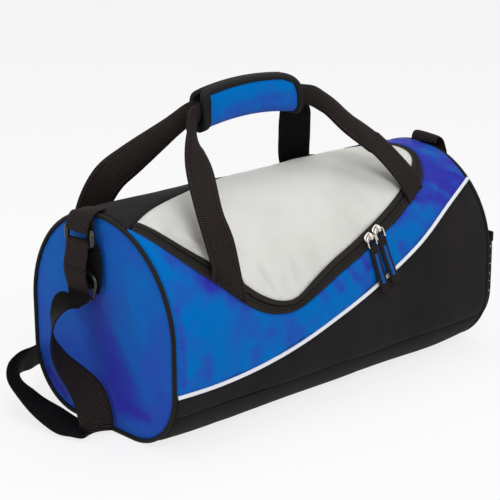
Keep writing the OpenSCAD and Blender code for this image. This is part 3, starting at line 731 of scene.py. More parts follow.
def in_view(tree):
    """1 for rays that come from the camera or from a mirrored or clear surface, else 0."""
    path = add_node(tree, "ShaderNodeLightPath")
    seen = math_node(tree, "MAXIMUM", path.outputs["Is Camera Ray"], path.outputs["Is Glossy Ray"])
    return math_node(tree, "MAXIMUM", seen, path.outputs["Is Transmission Ray"])


def whiten(tree, plain, white, share, output):
    """Rays in view see that share of a white shader, and all other rays the plain one."""
    mix = add_node(tree, "ShaderNodeMixShader")
    tree.links.new(math_node(tree, "MULTIPLY", in_view(tree), share), mix.inputs["Fac"])
    tree.links.new(plain.outputs[0], mix.inputs[1])
    tree.links.new(white.outputs[0], mix.inputs[2])
    tree.links.new(mix.outputs[0], tree.nodes[output].inputs["Surface"])


def add_stage():
    bright = {"Color": (1, 1, 1, 1), "Strength": 1.0}
    world = bpy.data.worlds.new("studio")
    bpy.context.scene.world = world
    world.use_nodes = True
    tree = world.node_tree
    sky = tree.nodes["Background"]
    sky.inputs["Color"].default_value = (1, 1, 1, 1)
    sky.inputs["Strength"].default_value = SKY
    whiten(tree, sky, add_node(tree, "ShaderNodeBackground", inputs=bright), 1.0, "World Output")

    sockets = {"Roughness": 0.9, "Specular IOR Level": 0.1}
    material, tree, shader, place = start_material("pale_floor", sockets)
    spots = speckle(tree, place.outputs["Object"], 0.6)
    tint = blend_colours(tree, spots, (0.92, 0.92, 0.92), (0.95, 0.95, 0.95))
    tree.links.new(tint, shader.inputs["Base Color"])
    whiten(tree, shader, add_node(tree, "ShaderNodeEmission", inputs=bright), FLOOR_WHITE, "Material Output")
    corners = [(x * FLOOR_HALF, y * FLOOR_HALF, 0) for x, y in ((-1, -1), (1, -1), (1, 1), (-1, 1))]
    floor = mesh_object("floor", corners, [(0, 1, 2, 3)], np.array(corners)[:, :2], [material])
    floor.location.z = -FLOOR_GAP

    add_light("key", (-0.9, -1.9, 1.9), 1.2, 24)
    add_light("top", (0.3, 0.1, 2.2), 1.6, 11)
    add_light("side", (-2.2, 0.3, 0.9), 1.0, 5)


add_camera()
add_stage()


# Shoulder strap

def along_route(points, values, path):
    """Values given at the points of a route, read off along the evenly spaced path."""
    run = run_of(curve(points))
    fine = curve(np.array(values, float))
    at = np.linspace(0, run[-1], len(path))
    return np.column_stack([np.interp(at, run, fine[:, k]) for k in range(fine.shape[1])])


def paint_shade(piece, sides, chosen):
    """Paints shade: gives the darker copy of the webbing to the faces of a swept piece that are chosen by
    section and by side.
    """
    piece.data.materials.append(WEB_SHADED)
    for face in piece.data.polygons:
        if chosen(face.index // sides, face.index % sides):
            face.material_index = 1


# Two points near each end of the strap, given to bend_with as its span
LEFT_BEND = (-0.280, 0, 0.085), (-0.295, 0, 0.150)
RIGHT_BEND = (0.280, 0, 0.080), (0.295, 0, 0.150)
STRAP_JOIN_Z = 0.055


def add_strap():
    """The strap in two lengths, joined near the right end."""
    route = metres(STRAP_ROUTE)
    path = even(curve(route), PATH_STEP)
    run = run_of(path)
    section = flat_section(WEBBING, WEBBING_THICK)
    rings = swept_rings(path, section, along_route(route, STRAP_ACROSS, path))
    join = int(np.argmax((path[:, 0] > 0) & (path[:, 2] > STRAP_JOIN_Z)))
    strap = tube("strap", rings[: join + 1], run[: join + 1], WEB)
    right_end = tube("strap_right_end", rings[join:], run[join:], WEB)
    for piece in (strap, right_end):
        # Painted shade: the faces on one side of the strap get the darker copy of the webbing.
        paint_shade(piece, len(section), lambda i, j: j < len(section) // 2)
    bend_with(strap, "left_strap_end", LEFT_BEND, "black_webbing", "shoulder_strap")
    bend_with(right_end, "right_strap_end", RIGHT_BEND, "black_webbing")


add_strap()


# Barrel panels

def dip(gap, depth=0.0015, reach=0.0022):
    """The cloth turns down into a seam at its edge."""
    return -depth * math.exp(-gap / reach)


def gather(along, gap, size, reach, seed):
    """Puckers that run in from a seam and fade with the distance from it."""
    return ripple(along, 0.3 * gap, size, seed) * gap / reach * math.exp(1 - gap / reach)


# Folds of the front and of the lid: two ends in x and s, width, height, and the painted light (positive) or
# painted shade (negative) that the fold puts into the cloth's colour; those of height 0 are painted shade
# alone
FRONT_FOLDS = [
    ((-0.226, 0.094), (-0.193, 0.134), 0.011, 0.0, -0.32),
    ((-0.190, 0.138), (-0.148, 0.167), 0.011, 0.0, -0.36),
    ((-0.2425, 0.150), (-0.2405, 0.234), 0.0032, -0.0010, -0.40),
    ((-0.211, 0.214), (-0.209, 0.228), 0.010, -0.0012, -0.26),
    ((-0.232, 0.160), (-0.216, 0.173), 0.007, -0.0008, -0.14),
    ((-0.118, 0.205), (-0.112, 0.222), 0.007, -0.0008, -0.14),
    ((-0.042, 0.172), (-0.030, 0.188), 0.0045, -0.0010, -0.30),
    ((-0.020, 0.166), (-0.008, 0.182), 0.0045, -0.0012, -0.34),
    ((0.006, 0.157), (0.017, 0.174), 0.0050, -0.0010, -0.30),
    ((0.030, 0.148), (0.040, 0.168), 0.0055, -0.0012, -0.34),
    ((0.100, 0.122), (0.122, 0.116), 0.0090, -0.0010, -0.30),
    ((0.150, 0.104), (0.178, 0.112), 0.0080, -0.0012, -0.30),
    ((0.206, 0.066), (0.196, 0.092), 0.0070, -0.0012, -0.20),
    ((0.222, 0.040), (0.232, 0.078), 0.0070, 0.0010, 0.30),
    ((0.186, 0.094), (0.200, 0.110), 0.0050, 0.0010, 0.30),
    ((0.075, 0.132), (0.092, 0.150), 0.0060, 0.0010, 0.12),
]
LID_FOLDS = [
    ((-0.208, 0.066), (-0.192, 0.092), 0.0050, -0.0013, -0.12),
    ((-0.196, 0.074), (-0.178, 0.102), 0.0050, 0.0012, 0.08),
    ((-0.184, 0.080), (-0.166, 0.110), 0.0045, -0.0011, -0.10),
    ((-0.152, 0.096), (-0.118, 0.130), 0.0080, -0.0014, -0.08),
    ((-0.122, 0.112), (-0.096, 0.142), 0.0080, 0.0010, 0.06),
    ((-0.110, 0.030), (-0.070, 0.070), 0.0200, -0.0018, -0.05),
    ((-0.119, 0.136), (-0.107, 0.160), 0.0045, -0.0014, -0.16),
    ((-0.112, 0.138), (-0.100, 0.162), 0.0040, 0.0010, 0.06),
    ((-0.070, 0.135), (-0.071, 0.158), 0.0060, -0.0010, -0.09),
]


# Painted light and shade on the blue front: darker towards the right end, darker in folds and lighter on
# raised ones, and lighter where puckers and broad waves rise.
def blue_height(x, s, gap, along):
    fold, colour = folds(x, s, FRONT_FOLDS)
    pucker = gather(along, gap, 0.017, 0.013, 1.0)
    wide = ripple(x, s, 0.055, 2.0)
    shade_to_right = float(smooth((x - 0.10) / 0.11))
    height = dip(gap) + 0.0015 * pucker + 0.0014 * wide + fold
    return height, 0.62 - 0.50 * shade_to_right + colour + 0.40 * pucker + 0.22 * wide


# Painted light and shade on the black cloth: lighter where puckers and broad waves rise, darker where they
# sink.
def black_height(x, s, gap, along):
    pucker = gather(along, gap, 0.022, 0.012, 4.0)
    wide = ripple(x, s, 0.08, 5.0)
    return dip(gap) + 0.0007 * pucker + 0.0011 * wide, 0.45 + 0.2 * pucker + 0.2 * wide


# Painted light and shade on the lid: darker in its folds and dents, lighter on raised ones and where puckers
# and broad waves rise.
def grey_height(x, s, gap, along):
    fold, colour = folds(x, s, LID_FOLDS)
    pucker = gather(along, gap, 0.021, 0.016, 6.0)
    wide = ripple(x, s, 0.09, 7.0)
    height = dip(gap, 0.0008) + 0.0010 * pucker + 0.0016 * wide + fold
    return height, 0.62 + colour + 0.12 * pucker + 0.12 * wide


def at_x(line, x):
    """The s of a line at x."""
    return float(np.interp(x, line[:, 0], line[:, 1]))


def between_x(line, x0, x1):
    """The part of a line between two x, with its ends on them."""
    middle = line[(line[:, 0] > x0) & (line[:, 0] < x1)]
    return np.vstack([[x0, at_x(line, x0)], middle, [x1, at_x(line, x1)]])


def on_bottom(x, v, h):
    """A point of the bottom panel, v measured from its middle line."""
    return on_bag(x, math.copysign(HALF_ROUND - abs(v), -v), h)


def bottom_height(x, v, gap, along):
    """Like the other black cloth, but never lower than the floor."""
    h, fold = black_height(x, v, gap, along)
    return min(h, h * float(smooth((abs(v) - HALF_BOTTOM) / 0.04))), fold


def add_barrel():
    """The four panels round the barrel. Returns the loop that they leave open for the lid."""
    end = BARREL_END
    white = between_x(WHITE_LINE, -end, end)
    back = between_x(BACK_LINE, -end, end)
    zip_out = beside(ZIP_LINE, ZIP_OUT * ZIP_SHARES)
    behind = between_x(BACK_LINE, YOKE_RIGHT, end)[::-1]
    corner = between_x(BACK_LINE, -end, zip_out[0][0])[::-1]
    upper = np.vstack([white, behind, zip_out[::-1], corner])
    lower = np.vstack([white, [(end, BOTTOM_SEAM), (-end, BOTTOM_SEAM)]])
    rear = np.vstack([back, [(end, -BOTTOM_SEAM), (-end, -BOTTOM_SEAM)]])
    half = HALF_ROUND - BOTTOM_SEAM - SEAM_GAP
    under = np.array([(-end, -half), (end, -half), (end, half), (-end, half)])
    for name, loop, step, place, height, cloth, slot in (
        ("front_blue", upper, MESH_STEP, on_bag, blue_height, BLUE, "blue_nylon"),
        ("front_black", lower, MESH_STEP, on_bag, black_height, BLACK, "black_polyester"),
        ("back", rear, MESH_STEP, on_bag, black_height, BLACK, "black_polyester"),
        ("bottom", under, BOTTOM_STEP, on_bottom, bottom_height, BLACK, "black_polyester"),
    ):
        wear(panel(name, loop, step, place, height, cloth), "body", slot, name + "_panel")
    yoke = (YOKE_RIGHT, at_x(BACK_LINE, YOKE_RIGHT))
    zip_in = beside(ZIP_LINE, -ZIP_HALF * ZIP_SHARES)
    return np.vstack([zip_in, [yoke], between_x(BACK_LINE, ZIP_LINE[0][0], YOKE_RIGHT)[::-1]])


# The span given with the lid's pieces runs from this far behind its fold line to this far in front of it
BEND_BEHIND = 0.004
BEND_IN_FRONT = 0.024


def lid_bend():
    """The two points given as the span of the lid's pieces, round its fold line."""
    left, right = (on_bag(*metres(ZIP_ROUTE[i])) for i in (0, -1))
    along = (right - left).normalized()
    forward = Vector((along.y, -along.x, 0)).normalized()
    middle = (left + right) / 2
    return middle - BEND_BEHIND * forward, middle + BEND_IN_FRONT * forward


def add_lid(loop):
    cloth = panel("lid_cloth", loop, MESH_STEP, on_bag, grey_height, GREY)
    bend_with(cloth, "lid", lid_bend(), "grey_polyester", "lid_panel", "lid_yoke")


add_lid(add_barrel())


# Zipper tapes as (sideways, height): a plain one on the lid, and one on the body with the ridges of the coil
LID_TAPE = [
    (-0.0004, -0.0016), (-0.0004, -0.0004), (-0.0010, 0.0002), (-0.0020, 0.0003), (-0.0064, -0.0002),
    (-0.0080, -0.0020), (-0.0100, -0.0030), (-0.0100, -0.0036), (-0.0040, -0.0024),
]
BODY_TAPE = [
    (0.0004, -0.0020), (0.0004, -0.0012), (0.0012, -0.0010), (0.0018, 0.0003), (0.0028, 0.0004),
    (0.0034, -0.0008), (0.0040, -0.0008), (0.0046, 0.0002), (0.0054, 0.0002), (0.0060, -0.0009),
    (0.0066, -0.0009), (0.0071, -0.0002), (0.0100, -0.0004), (0.0112, -0.0020), (0.0134, -0.0030),
    (0.0134, -0.0036), (0.0040, -0.0028),
]


def add_zip():
    body_side = strip("body_zip", ZIP_LINE, BODY_TAPE, on_bag, TAPE, ZIP_SHARES)
    wear(body_side, "body", "black_polyester", "body_zip_tape", "body_zip_coil")
    lid_side = strip("lid_zip", ZIP_LINE, LID_TAPE[::-1], on_bag, TAPE, ZIP_SHARES)
    bend_with(lid_side, "lid", lid_bend(), "black_polyester", "lid_zip_tape", "lid_zip_coil")


add_zip()


# Ends and pipings
END_X = 0.2505
END_INSET = 0.0026
WHITE_RADIUS = 0.0022
WHITE_LIFT = 0.0006


def end_loop(inset):
    """The closed outline of the bag in y and z, made smaller by inset."""
    made = []
    for a in np.linspace(0, HALF_ROUND, 160):
        (out, up), (dy, dz) = outline(a)
        made.append((out - inset * dy, up - inset * dz))
    half = np.array(made)
    return np.vstack([half, (half * (-1, 1))[-2:0:-1]])


# Broad folds of the end cloth, in y and z, written like those of the front, with painted light and shade in
# their last column
END_FOLDS = [
    ((0.016, 0.142), (-0.044, 0.034), 0.028, -0.0016, -0.24),
    ((0.022, 0.165), (0.010, 0.146), 0.012, -0.0008, -0.20),
    ((-0.056, 0.180), (-0.066, 0.120), 0.016, 0.0014, 0.10),
    ((-0.030, 0.120), (-0.078, 0.058), 0.009, 0.0010, 0.14),
    ((0.101, 0.040), (0.070, 0.018), 0.0055, -0.0014, -0.40),
    ((0.105, 0.054), (0.080, 0.034), 0.0060, 0.0012, 0.06),
    ((-0.028, 0.036), (-0.078, 0.033), 0.0055, -0.0012, -0.30),
    ((-0.030, 0.018), (-0.074, 0.018), 0.0060, 0.0010, 0.12),
]


# Painted light and shade on the ends: lighter towards the top, darker in folds and lighter on raised ones,
# and lighter where broad waves and puckers rise.
def end_height(y, z, gap, along):
    fold, colour = folds(y, z, END_FOLDS)
    near = float(smooth(gap / 0.012))
    pucker = gather(along, gap, 0.024, 0.012, 9.0)
    wide = ripple(y, z, 0.08, 10.0)
    h = 0.0030 * (1 - math.exp(-gap / 0.012)) + near * (fold + 0.0008 * wide) + 0.0005 * pucker
    upper = float(smooth((z - 0.05) / 0.14))
    return h, 0.30 + 0.20 * upper + near * colour + 0.12 * wide + 0.08 * pucker


def add_end(side, name):
    """The cloth of one end and the piping round it."""
    def place(y, z, h):
        return Vector((side * (END_X + h), y, z))

    cloth = panel(name + "_end", end_loop(END_INSET), MESH_STEP, place, end_height, BLUE)
    wear(cloth, "body", "blue_nylon", name + "_end_panel")
    loop = even(end_loop(PIPING / 2), PATH_STEP, closed=True)
    path = np.column_stack([np.full(len(loop), side * (LENGTH / 2 - PIPING / 2)), loop])
    cord = sweep(name + "_piping", path, round_section(PIPING / 2), (1, 0, 0), TRIM, closed=True)
    wear(cord, "body", "black_polyester", name + "_end_piping")


add_end(-1, "left")
add_end(1, "right")


def add_white_piping():
    route = between_x(WHITE_LINE, -BARREL_END, BARREL_END)
    path = np.array([on_bag(x, s, WHITE_LIFT) for x, s in route])
    normals = np.array([on_bag(x, s, 0.01) for x, s in route]) - path
    cord = sweep("white_cord", path, round_section(WHITE_RADIUS), normals, WHITE)
    wear(cord, "body", "white_cord", "white_piping")


add_white_piping()


# Stitches

def stitch_rows(name, rows, body, slot, pitch=0.0032, length=0.0024, radius=0.00032):
    """Short stitches along lines in space, all in one mesh."""
    points = []
    faces = []
    for row in rows:
        spots = even(row, pitch / 4)
        t = headings(spots)
        for i in range(2, len(spots) - 2, 4):
            a = unit(np.cross(t[i], (0.3, 0.5, 0.8)))
            b = np.cross(t[i], a)
            first = len(points)
            points.append(spots[i] - t[i] * length / 2)
            for end in (-0.3, 0.3):
                for k in range(4):
                    side = math.cos(k * math.pi / 2) * a + math.sin(k * math.pi / 2) * b
                    points.append(spots[i] + end * length * t[i] + radius * side)
            points.append(spots[i] + t[i] * length / 2)
            for k in range(4):
                j = (k + 1) % 4
                faces.append((first, first + 1 + j, first + 1 + k))
                faces.append((first + 1 + k, first + 1 + j, first + 5 + j, first + 5 + k))
                faces.append((first + 9, first + 5 + k, first + 5 + j))
    points = np.array(points)
    piece = mesh_object(name, points, faces, points[:, :2], [TRIM])
    wear(piece, body, slot)


# Handles, in millimetres: the four legs from the sewn ends up to the grip, and the points inside the grip
FRONT_LEFT = [(-174, -107, 216), (-173, -88, 250), (-155, -53, 286), (-131, -19, 318)]
FRONT_RIGHT = [(73, -22, 322), (88, -46, 296), (114, -64, 267), (137, -77, 238)]
BACK_LEFT = [(-182, 106, 206), (-176, 83, 249), (-159, 60, 276), (-130, 22, 314)]
BACK_RIGHT = [(57, 19, 303), (76, 40, 268), (93, 58, 240), (118, 78, 221.5)]
IN_GRIP_X = (-110, -80, -30, 20, 50)
IN_GRIP_Y = 6.2
FRONT_SHARES = [1, 1, 1, 1, 0.95, 0.5, 0.5, 0.5, 0.5, 0.55, 0.75, 0.95, 1, 1, 1]
BACK_SHARES = [1, 1, 1, 0.9, 0.60, 0.5, 0.5, 0.5, 0.5, 0.7, 1, 1, 1, 1, 1]
LEG_CURLS = [1, 1, 1, 1, 0.9, 0.4, 0.15, 0.15, 0.15, 0.4, 0.9, 1, 1, 1, 1]
FRONT_ACROSS = [
    (0.99, 0.09, 0.12), (1, 0, 0.1), (0.97, 0, -0.15), (0.90, -0.20, -0.42),
    (0.60, 0.34, -0.65), (0, 0, -1), (0, 0, -1), (0, 0, -1),
    (0, 0, -1), (0, 0, -1), (-0.80, -0.34, -0.36), (-0.78, -0.40, -0.36),
    (-0.79, -0.42, -0.36), (-0.86, -0.34, -0.33), (-0.99, -0.09, -0.12),
]
BACK_ACROSS = [
    (0.99, -0.09, 0.12), (0.9, -0.35, -0.1), (0.62, -0.66, -0.42), (0.4, -0.63, -0.66),
    (0.2, -0.3, -0.9), (0, 0, -1), (0, 0, -1), (0, 0, -1),
    (0, 0, -1), (0, 0, -1), (-0.7, 0.6, -0.35), (-0.73, 0.68, 0),
    (-0.8, 0.6, 0.05), (-0.95, 0.2, -0.2), (-0.99, 0.09, -0.12),
]
LEFT_BASE = (-0.170, 0.140)
RIGHT_BASE = (0.151, 0.093)
HINGE_LIFT = 0.003
HANDLE_BEND = 0.03
GRIP_LEFT = -0.111
GRIP_RIGHT = 0.039
GRIP_Z = 0.340
GRIP_HEIGHT = 0.045
GRIP_HALF = 0.012
GRIP_PAD = 0.0045
GRIP_DROOP = 0.008


def droop(x):
    """How far the grip hangs lower at its ends."""
    half = (GRIP_RIGHT - GRIP_LEFT) / 2
    return GRIP_DROOP * ((x - GRIP_LEFT - half) / half) ** 2


def from_zip(x, s):
    """The signed distance of a place on the cloth from the middle of the zipper, positive outside the lid."""
    off = np.array((x, s)) - ZIP_LINE
    i = int(np.argmin((off**2).sum(1)))
    t = ZIP_LINE[min(i + 1, len(ZIP_LINE) - 1)] - ZIP_LINE[max(i - 1, 0)]
    return float((t[0] * off[i][1] - t[1] * off[i][0]) / np.linalg.norm(t))


# Webbing of the front handle: its height over the zipper, and where and how deep it goes in outside of it
WEB_LIFT = 0.0026
WEB_SINK = 0.0062
SINK_FROM = 0.0080
SINK_LENGTH = 0.0045
TUCKED_RINGS = 10
TUCK_FROM = 0.0060
TUCK_LENGTH = 0.0055
TUCK_HEIGHT = -0.0034


def over_zip(x, s):
    """The height of webbing that runs over the zipper and goes in under the edge of the front panel."""
    return WEB_LIFT - WEB_SINK * float(smooth((from_zip(x, s) - SINK_FROM) / SINK_LENGTH))


def tucked(ring):
    """A section of webbing in front, lowered to the zipper seam where it lies outside of it."""
    made = []
    for x, y, z in ring:
        s = RADIUS * math.atan2(-y, z - TOP_HEIGHT)
        h = math.hypot(y, z - TOP_HEIGHT) - RADIUS - swell(x, s)
        share = float(smooth((from_zip(x, s) - TUCK_FROM) / TUCK_LENGTH))
        made.append(on_bag(x, s, h + share * (min(h, TUCK_HEIGHT) - h)))
    return np.array(made)


def on_back(x, s):
    """The height of webbing that lies flat on the back panel."""
    return WEBBING_THICK / 2 + 0.0010


def end_rings(base, way, length, height):
    """Rings of webbing on the bag from the base down, way being the sign of s. The lowest comes first."""
    section = flat_section(WEBBING, WEBBING_THICK)
    rings = []
    for along in np.arange(length, 0.001, -0.003):
        ring = []
        for a, n in section:
            x = base[0] + a
            s = way * (base[1] + along)
            ring.append(on_bag(x, s, height(x, s) + n))
        rings.append(np.array(ring))
    return rings


def matched(end, ring):
    """The rings of a sewn end, turned half round where the ring that follows them faces the other way."""
    half = len(ring) // 2
    gap = np.linalg.norm(end[-1] - ring[0], axis=1)
    if gap[0] > gap[half - 1]:
        return [np.roll(r, half, 0) for r in end]
    return end


def add_handle(name, k, left, right, leg_across, leg_shares, length, height):
    """One handle from its left sewn end through the grip to the right one. k is -1 in front and 1 behind."""
    in_grip = [(x, k * IN_GRIP_Y, 1000 * (GRIP_Z - droop(x / 1000))) for x in IN_GRIP_X]
    starts = [on_bag(base[0], -k * base[1], HINGE_LIFT) for base in (LEFT_BASE, RIGHT_BASE)]
    route = np.vstack([[starts[0]], metres(left + in_grip + right), [starts[1]]])
    path = even(curve(route), PATH_STEP)
    legs = along_route(route, np.column_stack([leg_across, leg_shares, LEG_CURLS]), path)

    def section(i):
        share, curl = legs[i, 3:]
        return flat_section(WEBBING, WEBBING_THICK, min(share, 1), curl)

    rings = swept_rings(path, section, legs[:, :3])
    left_end = matched(end_rings(LEFT_BASE, -k, length, height), rings[0])
    right_end = matched(end_rings(RIGHT_BASE, -k, length, height), rings[-1])
    if k < 0:
        for i in range(TUCKED_RINGS):
            rings[i] = tucked(rings[i])
            rings[-1 - i] = tucked(rings[-1 - i])
    rings = left_end + rings + right_end[::-1]
    piece = tube(name, rings, run_of(np.array([ring.mean(0) for ring in rings])), WEB)
    # Painted shade: the back handle's right half gets the darker copy of the webbing.
    if k > 0:
        paint_shade(piece, len(rings[0]), lambda i, j: i > len(rings) // 2)
    hinge = starts[1] - starts[0]
    toward = Vector(path[len(path) // 2]) - starts[0]
    toward = (toward - toward.project(hinge)).normalized()
    span = starts[0], starts[0] + HANDLE_BEND * toward
    where = name.split("_")[0]
    bend_with(piece, name, span, "black_webbing", name, where + "_left_hem", where + "_right_hem")


add_handle("front_handle", -1, FRONT_LEFT, FRONT_RIGHT, FRONT_ACROSS, FRONT_SHARES, 0.034, over_zip)
add_handle("back_handle", 1, BACK_LEFT, BACK_RIGHT, BACK_ACROSS, BACK_SHARES, 0.026, on_back)


# Padded grip: two leaves, each with a sewn binding round three sides
GRIP_QUARTER = GRIP_HALF * math.pi / 2
GRIP_STRAIGHT = GRIP_HEIGHT - 2 * GRIP_HALF
GRIP_ROUND = 2 * GRIP_QUARTER + GRIP_STRAIGHT
GRIP_CORNERS = (0.013, 0.034)
TOP_BINDING = 1.4
LEAF_GAP = 0.0003
LEAF_STEP = 0.0026
GRIP_STITCH = (-0.0072, 0.0013)
GRIP_BINDING = [
    (0.0090, 0.0002), (0.0087, 0.0011), (0.0040, 0.0013), (0.0006, 0.0010), (-0.0010, -0.0002),
    (-0.0014, -0.0022), (-0.0010, -0.0044), (0.0006, -0.0054), (0.0060, -0.0056), (0.0060, -0.0049),
    (0.0012, -0.0046), (0.0002, -0.0022), (0.0012, -0.0002),
]


def grip_edge():
    """The bound edge in u along the grip and v round it: up the left side, over the top, down the right."""
    r, q = GRIP_CORNERS
    turn = np.linspace(0, math.pi / 2, 9)
    left = np.column_stack([GRIP_LEFT + r - r * np.cos(turn), GRIP_ROUND - r + r * np.sin(turn)])
    right = np.column_stack([GRIP_RIGHT - q + q * np.sin(turn), GRIP_ROUND - q + q * np.cos(turn)])
    return np.vstack([[(GRIP_LEFT, 0)], left, right, [(GRIP_RIGHT, 0)]])


def grip_surface(k):
    """Places points of one leaf of the grip, k being -1 in front and 1 behind."""
    def place(u, v, h):
        straight = min(max(v - GRIP_QUARTER, 0), GRIP_STRAIGHT)
        angle = (v - straight) / GRIP_HALF - math.pi / 2
        y = LEAF_GAP + (GRIP_HALF + h) * math.cos(angle)
        z = straight - GRIP_STRAIGHT / 2 + (GRIP_HALF + h) * math.sin(angle)
        return Vector((u, k * y, GRIP_Z + z - droop(u)))

    return place


def binding_share(v):
    """The width of the binding at v as a share of its width at the sides: it is broader on top."""
    return 1 + (TOP_BINDING - 1) * smooth((v / GRIP_ROUND - 0.80) / 0.16)


# Painted light and shade on the grip: lighter towards its top, darker along the crease, lighter where puckers
# and broad waves rise.
def grip_height(u, v, gap, along):
    bound = min(gap, (GRIP_ROUND - v) / TOP_BINDING)
    puff = float(smooth((bound - 0.007) / 0.013))
    pucker = ripple(u, 0.4 * v, 0.009, 12.0) * puff * math.exp(-max(0, bound - 0.010) / 0.012)
    crease = ridge(u, v, (GRIP_LEFT + 0.03, 0.022), (GRIP_RIGHT - 0.02, 0.028), 0.004)
    wide = ripple(u, v, 0.035, 13.0)
    upper = float(smooth(v / (0.8 * GRIP_ROUND)))
    h = -0.0006 + puff * 0.0024 + 0.0016 * pucker + puff * (0.0008 * wide - 0.0010 * crease)
    return h, 0.30 + 0.45 * upper + 0.35 * pucker + 0.15 * wide - 0.15 * crease


def add_grip(name, k):
    """One leaf of the grip with its binding and a row of stitches."""
    place = grip_surface(k)
    edge = even(grip_edge(), LINE_STEP)
    body = name.replace("grip", "handle")
    leaf = panel(name, edge, LEAF_STEP, place, grip_height, BLUE, depth=GRIP_PAD)
    wear(leaf, body, "blue_nylon", name)
    shares = binding_share(edge[:, 1])
    binding = strip(name + "_edge", edge, [(-d, h) for d, h in GRIP_BINDING], place, TRIM, shares)
    wear(binding, body, "black_polyester", *(["front_grip_binding"] if k < 0 else []))
    aside, lift = GRIP_STITCH
    row = np.array([place(u, v, lift) for u, v in beside(edge, aside * shares)])
    stitch_rows(name + "_stitches", [row], body, "black_polyester")


add_grip("front_grip", -1)
add_grip("back_grip", 1)


# Strap ends
BAR_X = 0.263
RING_TOP = 0.226
RING_PITCH = 0.016
RING_HALF = 0.0225
RING_Y = 0.018
RING_CORNER = 0.004
LOOP_R = 0.0038
LOOP_STEP = 0.0016
TAB_PATH = [
    (0.2410, 0.2466), (0.2470, 0.2466), (0.2520, 0.2456), (0.2580, 0.2424),
    (0.2630, 0.2362), (0.2668, 0.2280),
]
TAB_ARCH = [
    (0.2430, 0.2450), (0.2435, 0.2500), (0.2470, 0.2545), (0.2530, 0.2545),
    (0.2590, 0.2480), (0.2640, 0.2370), (0.2668, 0.2280),
]
TAB_BACK = [(0.2590, 0.2330), (0.2580, 0.2390)]
# Webbing loop under the ring, as x, z and how far it is shifted to the front
LOOP_FRONT = [(0.2668, 0.1580, 0), (0.2700, 0.1700, 0), (0.2716, 0.1840, 0), (0.2680, 0.2010, 0)]
LOOP_BACK = [
    (0.2590, 0.2050, 0.007), (0.2588, 0.1980, 0.011), (0.2588, 0.1850, 0.012), (0.2594, 0.1740, 0.012),
    (0.2596, 0.1640, 0.008),
]
GLIDE_SHIFT = 0.004
GLIDE_TILT = math.radians(22)
GLIDE_HALF = 0.020
GLIDE_Z = 0.168
GLIDE_RISE = 0.014
GLIDE_CORNER = 0.008
# Where the tab starts to lie on the round top of the bag, and the ends of the two stitch rows on the loop
TAB_TOP_X = 0.262
TAB_TOP_Z = 0.236
LOOP_STITCH_X = 0.2728
LOOP_STITCH_Y = (-0.016, 0.016)
LOOP_STITCH_Z = (0.181, 0.185)


def turn_round(x, z, radius, a0, a1, steps=9):
    """Points of an arc in x and z."""
    return [(x + radius * math.cos(a), z + radius * math.sin(a)) for a in np.linspace(a0, a1, steps)]


def rounded_frame(half_width, low, high, corner):
    """A closed rectangle in y and z with rounded corners."""
    made = []
    for cy, cz, start in ((1, high, 0), (-1, high, 90), (-1, low, 180), (1, low, 270)):
        y = cy * (half_width - corner)
        z = cz + (corner if cz == low else -corner)
        for a in np.radians(np.linspace(start, start + 90, 7)):
            made.append((y + corner * math.cos(a), z + corner * math.sin(a)))
    return even(made, 0.002, closed=True)


def oval_section(a, b, sides=14):
    """An oval as a ring of (across, up) points."""
    return round_section(1, sides) * (a, b)


def end_path(side, points):
    """Points in x, z and shift as a path of one strap end, side being -1 at the left and 1 at the right."""
    p = np.array([(x, z, *shift) if shift else (x, z, 0) for x, z, *shift in points])
    return np.column_stack([side * p[:, 0], side * (p[:, 2] - RING_Y), p[:, 1]])


def add_strap_end(side, name, tab_path, droop_share):
    """One end of the strap: the tab over the seam, the ring and the webbing loop on it."""
    body = name + "_strap_end"
    turn = turn_round(BAR_X, RING_TOP, LOOP_R, 0, -math.pi)
    path = even(curve(end_path(side, tab_path + turn[1:] + TAB_BACK), 4), LOOP_STEP)
    flat = flat_section(WEBBING, WEBBING_THICK)

    def tab_section(i):
        x, _, z = np.abs(path[i])
        on_top = float(smooth((TAB_TOP_X - x) / 0.012)) * float(smooth((z - TAB_TOP_Z) / 0.008))
        ring = flat.copy()
        ring[:, 1] -= droop_share * on_top * (RADIUS - np.sqrt(RADIUS**2 - (RING_Y - ring[:, 0]) ** 2))
        return ring

    tab = sweep(name + "_tab", path, tab_section, (0, side, 0), WEB)
    wear(tab, "body", "black_webbing", name + "_strap_tab")

    bar = rounded_frame(RING_HALF, RING_TOP - RING_PITCH, RING_TOP, RING_CORNER)
    bar = np.column_stack([np.full(len(bar), side * BAR_X), bar[:, 0] - side * RING_Y, bar[:, 1]])
    thin = oval_section(0.0024, 0.0026)
    thick = oval_section(0.0029, 0.0032)
    section = lambda i: thick if abs(bar[i][1] + side * RING_Y) > WEBBING / 2 + 0.002 else thin
    ring = sweep(name + "_bar", bar, section, (1, 0, 0), PLASTIC, closed=True)
    wear(ring, body, "black_plastic", name + "_ring")

    turn = turn_round(BAR_X, RING_TOP - RING_PITCH, LOOP_R, 0, math.pi)
    path = even(curve(end_path(side, LOOP_FRONT + turn[1:-1] + LOOP_BACK), 4), LOOP_STEP)
    loop = sweep(name + "_loop", path, flat, (0, side, 0), WEB)
    # Painted shade: the layer of the loop behind its turn gets the darker copy of the webbing.
    behind = int(np.argmax(path[:, 2])) + 1
    paint_shade(loop, len(flat), lambda i, j: i >= behind)
    wear(loop, body, "black_webbing", name + "_strap_loop")
    rows = [[(side * LOOP_STITCH_X, y - side * RING_Y, z) for y in LOOP_STITCH_Y] for z in LOOP_STITCH_Z]
    stitch_rows(name + "_loop_stitches", rows, body, "black_webbing")


add_strap_end(-1, "left", TAB_PATH, 1.0)
add_strap_end(1, "right", TAB_ARCH, 0.5)


